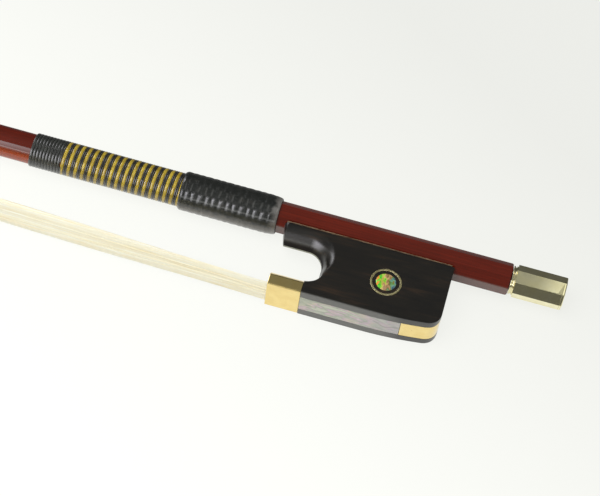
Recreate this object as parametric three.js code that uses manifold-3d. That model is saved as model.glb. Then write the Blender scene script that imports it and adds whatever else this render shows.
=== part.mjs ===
// A full size cello bow lying on its side, with its hair slackened.
//
// Lengths are in millimetres. While the pieces are made, X runs along the handle towards the
// button with zero at the front of the frog, the stick's axis is Y = 0, the hair hangs on the
// -Y side, and Z is square to the side of the frog. The finished bow is then moved as a whole
// so that the middle of its box stands over the origin and its lowest side lies on Z = 0.

import * as THREE from 'three';
import { mergeVertices } from 'three/addons/utils/BufferGeometryUtils.js';
import Module from 'manifold-3d';

const wasm = await Module();
wasm.setup();

// Driving dimensions

// Fits
const slidingGap = 0.1;
const glueGap = 0.05;
const boreGap = 0.1;
const overrun = 2;

// Stick
const handleFlats = 9.0;
const handleEnd = 69.0;
const handleEdgeBreak = 0.5;
const octagonEnd = 14.0;
const octagonBlend = 10.0;
const roundDiameter = 9.3;
const tipDiameter = 6.9;
const taperStart = 84.0;
const nippleDiameter = 6.2;
const nippleLength = 2.6;
const camberRise = 14.0;

// Head
const bowLength = 715.0;
const headHeight = 20.0;
const headLength = 25.0;
const headWidth = 11.0;
const headNeck = 14.0;
const plateThickness = 1.1;
const linerThickness = 0.7;
const headMortiseStart = 3.5;
const headMortiseLength = 7.5;
const headMortiseWidth = 7.2;
const headMortiseDepth = 6.0;

// Frog
const frogLength = 52.1;
const frogTopWidth = 8.3;
const frogBottomWidth = 13.0;
const frogRailDrop = 3.4;
const frogDepth = 26.6;
const heelSlopeLength = 18.0;
const heelRise = 1.2;
const heelCornerLength = 4.1;
const heelCornerHeight = 6.0;
const lipSlant = 1.5;
const lipDrop = 9.4;
const throatDepth = 14.4;
const throatTopRadius = 5.2;
const throatBottomRadius = 4.0;
const tongueTop = 22.4;
const thumbScoop = 5.7;
const thumbScoopDepth = 4.5;
const thumbScoopFoot = 2.4;

// Ferrule
const ferruleFront = 0.7;
const ferruleLength = 10.1;
const ferruleWall = 0.5;
const ferruleSideHeight = 2.8;
const ferruleDome = 2.9;
const ferruleEdge = 0.5;

// Slide, heel plate and mortise under the frog
const pearlWidth = 7.0;
const pearlThickness = 0.8;
const bedThickness = 0.8;
const bedFlare = 0.6;
const hairThickness = 1.0;
const hairSideMargin = 0.7;
const tongueGap = 4.2;
const wedgeLength = 6.0;
const frogMortiseLength = 9.0;
const frogMortiseDepth = 8.0;
const heelPlateLength = 11.0;
const heelPlateWidth = 7.2;
const heelPlateThickness = 0.6;
const heelPlateTop = 14.0;
const heelPinDiameter = 1.1;
const heelPinLength = 5.0;
const heelPinAlong = 3.3;

// Eye in each side of the frog
const eyeFromBack = 18.3;
const eyeDrop = 15.17;
const eyeRingDiameter = 9.45;
const eyeRingWidth = 0.65;
const eyeDotDiameter = 6.0;
const eyeDepth = 0.9;
const eyeProud = 0.06;

// Underslide, eyelet and adjuster
const undersideLining = 0.45;
const liningInset = 0.8;
const liningRise = 0.4;
const liningScrewDiameter = 1.6;
const liningScrewHead = 2.6;
const liningScrewHeadDepth = 0.7;
const liningScrewLand = 0.15;
const liningScrewLength = 1.7;
const liningScrewInset = 6.0;
const eyeletFromBack = 27.7;
const eyeletLength = 4.2;
const eyeletWidth = 3.4;
const eyeletAbove = 2.6;
const eyeletShankDiameter = 2.8;
const eyeletShankLength = 7.5;
const frogTravel = 6.0;
const travelMargin = 1.4;
const screwDiameter = 3.0;
const screwTipStart = 12.5;

// Button
const collarGap = 0.15;
const collarLength = 1.25;
const collarDiameter = 8.7;
const collarGroove = 0.35;
const shellFlats = 9.2;
const shellLength = 15.1;
const shellWall = 0.6;
const shellEdge = 0.35;
const endCapLength = 0.8;
const buttonTurn = THREE.MathUtils.degToRad(-12.5);
const screwSeatLength = 10.5;

// Grip and lapping
const gripGap = 2.4;
const gripLength = 30.2;
const gripDiameter = 11.9;
const gripBevel = 4.6;
const gripEndDiameter = 10.7;
const gripFrontBevel = 1.0;
const lappingDiameter = 10.4;
const lappingLength = 37.0;
const lappingPitch = 2.07;
const yellowWidth = 0.88;
const blackWidth = 0.62;
const strandSeat = 0.12;
const strandCover = 0.05;
const threadLength = 9.6;
const threadPitch = 1.02;
const threadWidth = 0.56;
const strandBend = 1.1;

// Hair
const hairSpreadWidth = 12.0;
const hairSpreadThickness = 2.2;
const hairSpreadStart = 70.0;
const hairSpreadEnd = 420.0;
const hairHeadWidth = 6.8;
const hairHeadThickness = 1.0;
const knotLength = 4.0;
const knotPacking = 2.0;

// Counts and shares
const stickSides = 24;
const stickRings = 22;
const octagonSides = 8;
const taperShare = 1.3;
const camberPowerShare = 2.4;
const strandStepsPerLoop = 20;
const strandSides = 5;
const roundSides = 32;
const pinSides = 12;
const strandBendSteps = 3;
const strandTwistShare = 0.25;
const ribbonSpacingShare = 1.5;

// Values worked out from the driving ones

const gripEnd = -gripGap;
const gripStart = gripEnd - gripLength;
const lappingStart = gripStart - lappingLength;
const threadStart = lappingStart - threadLength;
const frogBottom = -frogDepth;
const railTop = -frogRailDrop;
const sideLean = Math.atan2((frogBottomWidth - frogTopWidth) / 2, frogDepth - frogRailDrop);
const hairWidth = frogBottomWidth - 2 * (ferruleWall + hairSideMargin);
const liningOuter = handleFlats / 2 + slidingGap + undersideLining;
const liningTop = railTop + liningRise;
const ferruleEnd = ferruleFront + ferruleLength;
const pearlStart = ferruleEnd + glueGap;
const pearlEnd = frogLength - heelPlateLength;
const pearlInner = frogBottom + pearlThickness;
const bedInner = pearlInner + glueGap + bedThickness;
const channelTop = bedInner + glueGap + hairThickness + glueGap;
const frogMortiseStart = pearlStart + tongueGap;
const frogMortiseEnd = frogMortiseStart + frogMortiseLength;
const frogMortiseTop = channelTop + frogMortiseDepth;
const heelCornerStart = frogLength - heelCornerLength;
const heelFlatEnd = heelCornerStart - heelSlopeLength;
const eyeAlong = frogLength - eyeFromBack;
const eyeletFront = frogLength - eyeletFromBack;
const collarStart = handleEnd + collarGap;
const shellStart = collarStart + collarLength;
const shellEnd = shellStart + shellLength;
const capStart = shellEnd - endCapLength;
const nippleEnd = handleEnd + nippleLength;
const headTip = shellEnd - bowLength;
const headRear = headTip + headLength;
const stickReach = -headRear;
const screwBore = screwDiameter / 2 + boreGap;

// Materials

function finish(color, roughness, metalness) {
  return new THREE.MeshStandardMaterial({ color, roughness, metalness });
}
const varnishedWood = finish(0x551d0f, 0.25, 0);
const ebony = finish(0x211e19, 0.35, 0);
const brass = finish(0xd9b65c, 0.22, 1);
const pearl = finish(0xc9c2b8, 0.2, 0);
const abalone = finish(0x3f7f5f, 0.2, 0);
const steel = finish(0x9a9a98, 0.35, 1);
const bone = finish(0xe9e2cd, 0.4, 0);
const maple = finish(0xc9a878, 0.6, 0);
const leather = finish(0x26262a, 0.55, 0);
const blackThread = finish(0x1d1f20, 0.6, 0);
const yellowThread = finish(0xb09a2c, 0.5, 0);
const horsehair = finish(0xf3ecd0, 0.5, 0);
const binding = finish(0xdad3c2, 0.7, 0);

// Helpers for solids

const bow = new THREE.Group();
bow.name = 'bow';

function add(name, geometry, material) {
  const mesh = new THREE.Mesh(geometry, material);
  mesh.name = name;
  bow.add(mesh);
}

const weldDistance = 1e-4;

function toSolid(geometry) {
  const plain = geometry.clone();
  plain.deleteAttribute('normal');
  plain.deleteAttribute('uv');
  const merged = mergeVertices(plain, weldDistance);
  const vertProperties = new Float32Array(merged.attributes.position.array);
  const triVerts = new Uint32Array(merged.index.array);
  return new wasm.Manifold(new wasm.Mesh({ numProp: 3, vertProperties, triVerts }));
}

function toGeometry(solid) {
  const mesh = solid.getMesh();
  const geometry = new THREE.BufferGeometry();
  geometry.setAttribute('position', new THREE.BufferAttribute(mesh.vertProperties, 3));
  geometry.setIndex(new THREE.BufferAttribute(mesh.triVerts, 1));
  return geometry;
}

function cut(base, ...tools) {
  return tools.reduce((rest, tool) => rest.subtract(tool), base);
}

function box(x0, x1, y0, y1, z0, z1) {
  const geometry = new THREE.BoxGeometry(x1 - x0, y1 - y0, z1 - z0);
  geometry.translate((x0 + x1) / 2, (y0 + y1) / 2, (z0 + z1) / 2);
  return toSolid(geometry);
}

function shapeOf(points) {
  return new THREE.Shape(points.map(([x, y]) => new THREE.Vector2(x, y)));
}

// A side outline in X and Y, given thickness from z0 to z1
function sideSolid(points, z0, z1) {
  const geometry = new THREE.ExtrudeGeometry(shapeOf(points), { depth: z1 - z0, bevelEnabled: false });
  geometry.translate(0, 0, z0);
  return toSolid(geometry);
}

// An outline in Y and Z, run along X from x0 to x1
function endSolid(points, x0, x1) {
  const turned = points.map(([y, z]) => [-z, y]);
  const geometry = new THREE.ExtrudeGeometry(shapeOf(turned), { depth: x1 - x0, bevelEnabled: false });
  geometry.rotateY(Math.PI / 2);
  geometry.translate(x0, 0, 0);
  return toSolid(geometry);
}

// An outline in X and Z, run along Y from y0 to y1
function planSolid(points, y0, y1) {
  const turned = points.map(([x, z]) => [x, -z]);
  const geometry = new THREE.ExtrudeGeometry(shapeOf(turned), { depth: y1 - y0, bevelEnabled: false });
  geometry.rotateX(-Math.PI / 2);
  geometry.translate(0, y0, 0);
  return toSolid(geometry);
}

// A round piece on the X axis, from its [x, radius] profile
function turned(profile, sides = roundSides) {
  const points = profile.map(([x, radius]) => new THREE.Vector2(radius, x));
  const geometry = new THREE.LatheGeometry(points, sides);
  geometry.rotateZ(-Math.PI / 2);
  return geometry;
}

function rod(x0, x1, radius, sides = roundSides) {
  const profile = [[x0, 0], [x0, radius], [x1, radius], [x1, 0]];
  return turned(profile, sides);
}

function sleeve(x0, x1, inner, outer, sides = roundSides) {
  const profile = [[x0, inner], [x0, outer], [x1, outer], [x1, inner], [x0, inner]];
  return turned(profile, sides);
}

// The same pieces standing along Y, centred at x and z
function stand(geometry, x, z) {
  geometry.rotateZ(Math.PI / 2);
  geometry.translate(x, 0, z);
  return geometry;
}

// A closed skin over rings of points, all with the same count. Each ring runs anticlockwise
// seen from the ring after it, and caps lists the triangles of one flat end.
function skin(rings, caps) {
  const count = rings[0].length;
  const index = [];
  for (let r = 0; r < rings.length - 1; r += 1) {
    for (let i = 0; i < count; i += 1) {
      const a = r * count + i;
      const b = r * count + (i + 1) % count;
      index.push(a, b, b + count, a, b + count, a + count);
    }
  }
  const last = (rings.length - 1) * count;
  for (const [a, b, c] of caps) index.push(c, b, a, last + a, last + b, last + c);
  const geometry = new THREE.BufferGeometry();
  geometry.setAttribute('position', new THREE.Float32BufferAttribute(rings.flat(2), 3));
  geometry.setIndex(index);
  return geometry;
}

// A skin over rings that bulge everywhere, so that a fan closes each end
function loft(rings) {
  const caps = [];
  for (let i = 1; i < rings[0].length - 1; i += 1) caps.push([0, i, i + 1]);
  return skin(rings, caps);
}

// Distance from the axis to a corner of an octagon
function octagonRadius(flats) {
  return flats / 2 / Math.cos(Math.PI / octagonSides);
}

function octagonProfile(flats, turn = 0) {
  const radius = octagonRadius(flats);
  return Array.from({ length: octagonSides }, (_, k) => {
    const angle = (k + 0.5) * 2 * Math.PI / octagonSides + turn;
    return [radius * Math.sin(angle), radius * Math.cos(angle)];
  });
}

function octagonPrism(flats, x0, x1, turn = 0) {
  return endSolid(octagonProfile(flats, turn), x0, x1);
}

// The stick

// Height of the stick's axis at x: straight in the handle, then rising away from the hair
function axisHeight(x) {
  const along = Math.max(0, -x) / stickReach;
  return camberRise * along ** camberPowerShare;
}

function stickDiameter(x) {
  const along = Math.min(1, Math.max(0, -x - taperStart) / (stickReach - taperStart));
  return roundDiameter - (roundDiameter - tipDiameter) * along ** taperShare;
}

// One ring of the stick: eight flats in the handle that turn into a circle under the grip
function stickRing(x, shrink = 0) {
  const roundness = THREE.MathUtils.clamp((-x - octagonEnd) / octagonBlend, 0, 1);
  const half = handleFlats / 2 - shrink;
  const radius = stickDiameter(x) / 2 - shrink;
  const step = 2 * Math.PI / stickSides;
  const flat = 2 * Math.PI / octagonSides;
  return Array.from({ length: stickSides }, (_, k) => {
    const angle = flat / 2 + k * step;
    const fromFlat = ((angle + flat / 2) % flat) - flat / 2;
    const octagon = half / Math.cos(fromFlat);
    const reach = THREE.MathUtils.lerp(octagon, radius, roundness);
    return [x, axisHeight(x) + reach * Math.sin(angle), reach * Math.cos(angle)];
  });
}

// The hair runs straight from the floor of the ferrule to the face of the plate at the head
const headOriginHeight = axisHeight(headRear) - headHeight;
const hairFloor = frogBottom + ferruleWall + glueGap;
const hairInside = ferruleFront + ferruleWall;
const hairStartHeight = hairFloor + hairThickness / 2;
const hairHeadHeight = headOriginHeight - glueGap - hairHeadThickness / 2;
const hairSlope = (hairHeadHeight - hairStartHeight) / (hairInside - headRear);

// The head is drawn in its own plane: a runs towards the tip and b up from the plate's face
const headAngle = Math.atan(hairSlope);

function placeHead(geometry) {
  geometry.rotateZ(-headAngle);
  geometry.translate(headRear, headOriginHeight, 0);
  return geometry;
}

function headShape(points) {
  return points.map(([a, b]) => [-a, b]);
}

const plateTotal = plateThickness + glueGap + linerThickness;
const stickTopAtHead = headHeight + tipDiameter / 2;

// The head is a run of rings that turns from the end of the stick down to the plate. Each ring
// leans from a point on the back of the head to one on its front: shares of the head's length
// and height for both points, then how far its width and its shape have gone from the stick's
// to the plate's.
const headRingShares = [
  [-0.34, 0.985, -0.22, 0.994, 0, 0.05],
  [-0.19, 0.90, 0, 1, 0.02, 0.25],
  [-0.07, 0.75, 0.20, 0.975, 0.08, 0.50],
  [0.005, 0.55, 0.38, 0.885, 0.20, 0.75],
  [0.035, 0.36, 0.51, 0.73, 0.42, 0.90],
  [0.03, 0.21, 0.62, 0.53, 0.65, 1],
  [0.015, 0.12, 0.72, 0.35, 0.82, 1],
  [0.005, 0.06, 0.86, 0.21, 0.93, 1],
  [0, 0.02, 0.965, 0.125, 0.98, 1],
  [0, 0, 1, 0.04, 1, 1],
];

// Half of the plate's outline from its back to the beak: place along it and half width
const plateShares = [
  [-1, 0.25], [-1, 0.60], [-1, 0.88], [-0.94, 0.98], [-0.75, 1], [-0.40, 1],
  [-0.10, 0.98], [0.20, 0.93], [0.45, 0.80], [0.68, 0.60], [0.86, 0.38], [1, 0.18],
];

function headRing([backA, backB, frontA, frontB, widthShare, shapeShare]) {
  const back = new THREE.Vector2(-backA * headLength, backB * (stickTopAtHead - tipDiameter));
  const front = new THREE.Vector2(-frontA * headLength, frontB * stickTopAtHead);
  const centre = back.clone().lerp(front, 0.5);
  const reach = front.clone().sub(centre);
  const half = THREE.MathUtils.lerp(tipDiameter, headWidth, widthShare) / 2;
  const step = 2 * Math.PI / stickSides;
  return Array.from({ length: stickSides }, (_, k) => {
    const angle = Math.PI / octagonSides + k * step;
    const place = Math.round(Math.asin(Math.sin(angle)) / step + (plateShares.length - 1) / 2);
    const [along, wide] = plateShares[place];
    const up = THREE.MathUtils.lerp(Math.sin(angle), along, shapeShare);
    const across = THREE.MathUtils.lerp(Math.abs(Math.cos(angle)), wide, shapeShare);
    const side = Math.sign(Math.cos(angle));
    return [centre.x + reach.x * up, centre.y + reach.y * up, side * across * half];
  });
}

// The same rings, run on past the foot so that the foot can be cut to its line
function headRings() {
  const rings = headRingShares.map(headRing);
  const foot = rings[rings.length - 1];
  rings.push(foot.map(([x, y, z]) => [x, y - overrun, z]));
  return rings;
}

function inBow([x, y, z]) {
  const point = new THREE.Vector3(x, y, z).applyAxisAngle(new THREE.Vector3(0, 0, 1), -headAngle);
  return [point.x + headRear, point.y + headOriginHeight, point.z];
}

// The shaft and the head in one skin, from the button's end to the foot of the head
function shaftAndHead() {
  const rings = [stickRing(handleEnd, handleEdgeBreak), stickRing(handleEnd - handleEdgeBreak)];
  rings.push(stickRing(-octagonEnd), stickRing(-octagonEnd - octagonBlend));
  const firstRound = -octagonEnd - octagonBlend;
  const lastRound = headRear + headNeck;
  for (let i = 1; i <= stickRings; i += 1) {
    rings.push(stickRing(THREE.MathUtils.lerp(firstRound, lastRound, i / stickRings)));
  }
  for (const ring of headRings()) rings.push(ring.map(inBow));
  return toSolid(loft(rings));
}

// The foot is flat over the mortise and lifts a little towards the beak
const headFootShares = [[0, 0], [0.62, 0], [0.84, 0.012], [1, 0.04]];

function headFoot(lift) {
  return headFootShares.map(([a, b]) => [a * headLength, b * stickTopAtHead + lift]);
}

// A layer that follows the foot of the head, between two heights above its face
function footLayer(low, high) {
  const rear = [[-headNeck, high], [-headNeck, low]];
  const tip = headLength + overrun;
  const lower = headFoot(low);
  const upper = headFoot(high).reverse();
  const points = [...lower, [tip, lower.at(-1)[1]], [tip, upper[0][1]], ...upper, ...rear];
  return sideSolid(headShape(points), -headWidth, headWidth);
}

function headMortise(y0, y1) {
  const x1 = -headMortiseStart;
  const x0 = x1 - headMortiseLength;
  return box(x0, x1, y0, y1, -headMortiseWidth / 2, headMortiseWidth / 2);
}

function placed(solid) {
  return toSolid(placeHead(toGeometry(solid)));
}

function mortiseInHandle() {
  const half = eyeletWidth / 2 + boreGap;
  const x0 = eyeletFront - travelMargin;
  const x1 = eyeletFront + eyeletLength + frogTravel + travelMargin;
  return box(x0, x1, -handleFlats, eyeletAbove + travelMargin / 2, -half, half);
}

function stickBody() {
  const mortise = headMortise(-overrun, plateTotal + headMortiseDepth);
  const foot = footLayer(-2 * overrun, plateTotal + glueGap);
  const nipple = toSolid(rod(handleEnd - overrun, nippleEnd, nippleDiameter / 2));
  const bore = toSolid(rod(screwTipStart - boreGap, nippleEnd + overrun, screwBore, pinSides));
  return cut(shaftAndHead().add(nipple), placed(mortise), placed(foot), bore, mortiseInHandle());
}

add('stick', toGeometry(stickBody()), varnishedWood);

// Plate, liner, plug and knot in the head

function plateLayer(low, high) {
  const layer = toSolid(loft(headRings())).intersect(footLayer(low, high));
  return cut(layer, headMortise(-overrun, headMortiseDepth));
}

const linerStart = plateThickness + glueGap;
add('tip_plate', placeHead(toGeometry(plateLayer(0, plateThickness))), bone);
add('tip_plate_liner', placeHead(toGeometry(plateLayer(linerStart, plateTotal))), ebony);

const headPlugLength = headMortiseLength - hairHeadThickness - glueGap;
const headKnotFloor = plateTotal + headMortiseDepth - knotLength - glueGap;

function headPlug() {
  const x1 = -headMortiseStart - hairHeadThickness - glueGap * 3;
  const x0 = -headMortiseStart - headMortiseLength + glueGap;
  const half = headMortiseWidth / 2 - glueGap;
  return box(x0, x1, glueGap, headKnotFloor - glueGap, -half, half);
}

function headKnot() {
  const x1 = -headMortiseStart - glueGap;
  const half = headMortiseWidth / 2 - glueGap * 2;
  const band = box(x1 - hairHeadThickness, x1, glueGap, headKnotFloor + knotPacking, -half, half);
  const knot = box(x1 - headPlugLength, x1, headKnotFloor, headKnotFloor + knotLength, -half, half);
  return band.add(knot);
}

add('tip_mortise_plug', placeHead(toGeometry(headPlug())), maple);
add('tip_hair_knot', placeHead(toGeometry(headKnot())), binding);

// The frog

// Lower outline of the frog from the flat, round the heel and up the back
const heelSteps = 6;
const cornerSteps = 8;

function heelHeight(x) {
  const share = Math.max(0, x - heelFlatEnd) / heelSlopeLength;
  return frogBottom + heelRise * share * share;
}

function heelPath() {
  const points = [];
  for (let i = 0; i <= heelSteps; i += 1) {
    const x = THREE.MathUtils.lerp(heelFlatEnd, heelCornerStart, i / heelSteps);
    points.push([x, heelHeight(x)]);
  }
  const cornerTop = frogBottom + heelCornerHeight;
  const lean = 2 * heelRise / heelSlopeLength;
  const turn = new THREE.QuadraticBezierCurve(
    new THREE.Vector2(heelCornerStart, heelHeight(heelCornerStart)),
    new THREE.Vector2(frogLength, heelHeight(heelCornerStart) + lean * heelCornerLength),
    new THREE.Vector2(frogLength, cornerTop),
  );
  for (const point of turn.getPoints(cornerSteps).slice(1)) points.push([point.x, point.y]);
  return points;
}

// The part of the heel path from x0, and up the back to height top, moved inwards
function heelLine(x0, top, inset) {
  const path = [...heelPath(), [frogLength, top]];
  const inner = path.map((point, i) => {
    const [ax, ay] = path[Math.max(0, i - 1)];
    const [bx, by] = path[Math.min(path.length - 1, i + 1)];
    const length = Math.hypot(bx - ax, by - ay);
    return [point[0] - (by - ay) / length * inset, point[1] + (bx - ax) / length * inset];
  });
  return [[x0, heelHeight(x0) + inset], ...inner.filter(([x]) => x > x0)];
}

// Throat outline, with its upper edge moved outwards by scoop
const throatSteps = 8;

function throatOutline(scoop) {
  const points = [[-overrun, -lipDrop + scoop]];
  const topCornerX = throatDepth - throatTopRadius;
  const topCornerY = -lipDrop - throatTopRadius;
  for (let i = 0; i <= throatSteps; i += 1) {
    const angle = Math.PI / 2 * (1 - i / throatSteps);
    const reach = throatTopRadius + scoop * Math.sin(angle);
    points.push([topCornerX + reach * Math.cos(angle), topCornerY + reach * Math.sin(angle)]);
  }
  const bottomCornerX = throatDepth - throatBottomRadius;
  const bottomCornerY = -tongueTop + throatBottomRadius;
  for (let i = 0; i <= throatSteps; i += 1) {
    const angle = -Math.PI / 2 * i / throatSteps;
    const x = bottomCornerX + throatBottomRadius * Math.cos(angle);
    points.push([x, bottomCornerY + throatBottomRadius * Math.sin(angle)]);
  }
  points.push([-overrun, -tongueTop]);
  return points.reverse();
}

// The throat is cut through. Where the thumb rests, each leaning side curves in to a ridge in the middle.
const scoopSteps = 5;

function throatCutter() {
  const levels = [];
  for (let i = scoopSteps; i > 0; i -= 1) {
    const t = i / scoopSteps;
    const scoop = thumbScoop * (1 - t) ** 2 + 2 * thumbScoopFoot * t * (1 - t);
    levels.push([thumbScoopDepth * t ** 2, scoop]);
  }
  levels.push([-overrun, thumbScoop]);
  const ring = (side, [depth, scoop]) => (
    throatOutline(scoop).map(([x, y]) => [x, y, side * (frogHalfWidth(y) - depth)])
  );
  const far = levels.map((level) => ring(-1, level)).reverse();
  const rings = [...far, ...levels.map((level) => ring(1, level))];
  const caps = THREE.ShapeUtils.triangulateShape(rings[0].map(([x, y]) => new THREE.Vector2(x, y)), []);
  return toSolid(skin(rings, caps));
}

// Half width of the frog at height y
function frogHalfWidth(y) {
  return frogTopWidth / 2 + (railTop - y) * Math.tan(sideLean);
}

function frogBlank() {
  const lip = [[0, railTop], [lipSlant, -lipDrop], [lipSlant, frogBottom]];
  const heel = heelPath();
  const side = [...lip, ...heel, [frogLength, railTop]];
  const section = [
    [railTop, -frogTopWidth / 2],
    [frogBottom, -frogBottomWidth / 2],
    [frogBottom, frogBottomWidth / 2],
    [railTop, frogTopWidth / 2],
  ];
  const outline = sideSolid(side, -frogBottomWidth, frogBottomWidth);
  return outline.intersect(endSolid(section, -overrun, frogLength + overrun));
}

// D shaped section of the ferrule, moved inwards by inset: [y, z] points
const domeSteps = 8;

function ferruleSection(inset) {
  const half = frogBottomWidth / 2 - inset;
  const floor = frogBottom + inset;
  const shoulder = frogBottom + ferruleEdge + ferruleSideHeight;
  const rise = ferruleDome - inset;
  const radius = (half * half + rise * rise) / (2 * rise);
  const spread = Math.asin(half / radius);
  const points = [];
  for (let i = 0; i <= domeSteps; i += 1) {
    const angle = spread * (1 - 2 * i / domeSteps);
    points.push([shoulder + rise - radius * (1 - Math.cos(angle)), radius * Math.sin(angle)]);
  }
  const edge = ferruleEdge;
  points.push([floor + edge, -half]);
  points.push([floor, -half + edge]);
  points.push([floor, half - edge]);
  points.push([floor + edge, half]);
  return points;
}

function ferrule() {
  const outer = endSolid(ferruleSection(0), ferruleFront, ferruleEnd);
  const inner = endSolid(ferruleSection(ferruleWall), ferruleFront - overrun, ferruleEnd + overrun);
  return outer.subtract(inner);
}

// What is cut away round the tongue that the ferrule slides over
function tongueTrim() {
  const x1 = ferruleEnd + glueGap;
  const top = overrun - tongueTop;
  const room = box(-overrun, x1, frogBottom - overrun, top, -frogBottomWidth, frogBottomWidth);
  const tongue = ferruleSection(ferruleWall + glueGap);
  return room.subtract(endSolid(tongue, ferruleFront + glueGap, ferruleEnd + overrun));
}

const wedgeFloor = hairFloor + hairThickness + 2 * glueGap;
const wedgeTop = channelTop - glueGap;

// Space under the tongue for the hair and its wedge, and the channel back to the mortise
function hairSpace() {
  const half = hairWidth / 2 + glueGap;
  const narrow = half - bedFlare;
  const channelEnd = frogMortiseStart + overrun;
  const front = box(-overrun, pearlStart, frogBottom - overrun, channelTop, -half, half);
  const channel = box(pearlStart - overrun, channelEnd, pearlInner, channelTop, -half, half);
  const mortise = box(frogMortiseStart, frogMortiseEnd, pearlInner, frogMortiseTop, -narrow, narrow);
  return front.add(channel).add(mortise);
}

// Dovetailed groove for the slide
function slideSection(gap) {
  const half = pearlWidth / 2 + gap;
  return [
    [frogBottom - overrun, -half],
    [frogBottom - overrun, half],
    [pearlInner - gap, half],
    [bedInner + gap, half + bedFlare],
    [bedInner + gap, -half - bedFlare],
    [pearlInner - gap, -half],
  ];
}

function slideGroove() {
  return endSolid(slideSection(glueGap), -overrun, pearlEnd + glueGap);
}

// A band round the heel between two depths below its surface
function heelBand(start, top, outerDepth, innerDepth, halfWidth) {
  const outer = heelLine(start, top, outerDepth);
  const inner = heelLine(start, top, innerDepth);
  return sideSolid([...outer, ...inner.reverse()], -halfWidth, halfWidth);
}

const heelPlateStart = pearlEnd + 2 * glueGap;

function heelPlateRoom() {
  const half = heelPlateWidth / 2 + glueGap;
  return heelBand(pearlEnd, glueGap - heelPlateTop, -overrun, heelPlateThickness + glueGap, half);
}

function heelPlate() {
  const plate = heelBand(heelPlateStart, -heelPlateTop, 0, heelPlateThickness, heelPlateWidth / 2);
  return cut(plate, heelPinHole());
}

const heelPinX = pearlEnd + heelPinAlong;
const heelPinBottom = heelHeight(heelPinX);

function heelPinRod(gap, y0, y1) {
  return toSolid(stand(rod(y0, y1, heelPinDiameter / 2 + gap, pinSides), heelPinX, 0));
}

function heelPinHole() {
  return heelPinRod(glueGap, frogBottom - overrun, heelPinBottom + heelPinLength + glueGap);
}

// Places in the eye's own plane are moved to one side of the frog
function placeEye(geometry, side) {
  if (side < 0) geometry.rotateX(Math.PI);
  geometry.rotateX(-side * sideLean);
  geometry.translate(eyeAlong, -eyeDrop, side * frogHalfWidth(-eyeDrop));
  return geometry;
}

function eyeRingGeometry(gap, top) {
  const outer = eyeRingDiameter / 2 + gap;
  const inner = eyeRingDiameter / 2 - eyeRingWidth - gap;
  const floor = -eyeDepth - gap;
  const profile = [[inner, floor], [outer, floor], [outer, top], [inner, top], [inner, floor]];
  const geometry = new THREE.LatheGeometry(profile.map(([r, z]) => new THREE.Vector2(r, z)), roundSides);
  geometry.rotateX(Math.PI / 2);
  return geometry;
}

function eyeDotGeometry(gap, top) {
  const radius = eyeDotDiameter / 2 + gap;
  const floor = -eyeDepth - gap;
  const profile = [[0, floor], [radius, floor], [radius, top], [0, top]];
  const geometry = new THREE.LatheGeometry(profile.map(([r, z]) => new THREE.Vector2(r, z)), roundSides);
  geometry.rotateX(Math.PI / 2);
  return geometry;
}

function eyePockets() {
  const pockets = [];
  for (const side of [1, -1]) {
    pockets.push(toSolid(placeEye(eyeRingGeometry(glueGap, overrun), side)));
    pockets.push(toSolid(placeEye(eyeDotGeometry(glueGap, overrun), side)));
  }
  return pockets;
}

// Trough along the top of the frog: its three sides lie at one distance from the stick's axis
function trough(reach, x0, x1) {
  return octagonPrism(2 * reach, x0, x1);
}

const eyeletMiddle = eyeletFront + eyeletLength / 2;
const eyeletShankTop = -screwBore;

function eyeletShank(gap) {
  const depth = liningOuter + eyeletShankLength + gap;
  const shank = rod(-depth, eyeletShankTop, eyeletShankDiameter / 2 + gap, pinSides);
  return toSolid(stand(shank, eyeletMiddle, 0));
}

const liningScrewPlaces = [liningScrewInset, frogLength - liningScrewInset];

function liningScrew(x, gap = 0, above = 0) {
  const top = -handleFlats / 2 - slidingGap - glueGap;
  const neck = top - liningScrewHeadDepth;
  const land = top - liningScrewLand;
  const tip = neck - liningScrewLength - gap;
  const head = liningScrewHead / 2 + gap;
  const shank = liningScrewDiameter / 2 + gap;
  const end = top + above;
  const profile = [[tip, 0], [tip, shank], [neck, shank], [land, head], [end, head], [end, 0]];
  return toSolid(stand(turned(profile, pinSides), x, 0));
}

function liningScrewHoles() {
  return liningScrewPlaces.map((x) => liningScrew(x, glueGap, overrun));
}

function frogBody() {
  const ledge = trough(liningOuter + glueGap, -overrun, frogLength + overrun);
  return cut(
    frogBlank(), throatCutter(), ledge, tongueTrim(), hairSpace(), slideGroove(), heelPlateRoom(),
    heelPinHole(), ...eyePockets(), eyeletShank(glueGap), ...liningScrewHoles(),
  );
}

add('frog_body', toGeometry(frogBody()), ebony);
add('ferrule', toGeometry(ferrule()), brass);

// Slide, heel plate and eyes

function pearlSlide() {
  const heel = heelPath().filter(([x]) => x < pearlEnd);
  const start = [[pearlStart, pearlInner], [pearlStart, frogBottom]];
  const end = [[pearlEnd, heelHeight(pearlEnd)], [pearlEnd, pearlInner]];
  return sideSolid([...start, ...heel, ...end], -pearlWidth / 2, pearlWidth / 2);
}

function slideBed() {
  const half = pearlWidth / 2;
  const y0 = pearlInner + glueGap;
  const section = [[y0, -half], [y0, half], [bedInner, half + bedFlare], [bedInner, -half - bedFlare]];
  return endSolid(section, pearlStart, pearlEnd);
}

add('pearl_slide', toGeometry(pearlSlide()), pearl);
add('slide_bed', toGeometry(slideBed()), ebony);
add('heel_plate', toGeometry(heelPlate()), brass);
add('heel_plate_pin', toGeometry(heelPinRod(0, heelPinBottom, heelPinBottom + heelPinLength)), brass);

const eyeSides = { left: 1, right: -1 };
for (const [name, side] of Object.entries(eyeSides)) {
  add(`eye_ring_${name}`, placeEye(eyeRingGeometry(0, eyeProud), side), brass);
  add(`eye_dot_${name}`, placeEye(eyeDotGeometry(0, eyeProud), side), abalone);
}

// Hair, knot and wedge in the frog

const wedgeEnd = ferruleFront + wedgeLength;

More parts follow.
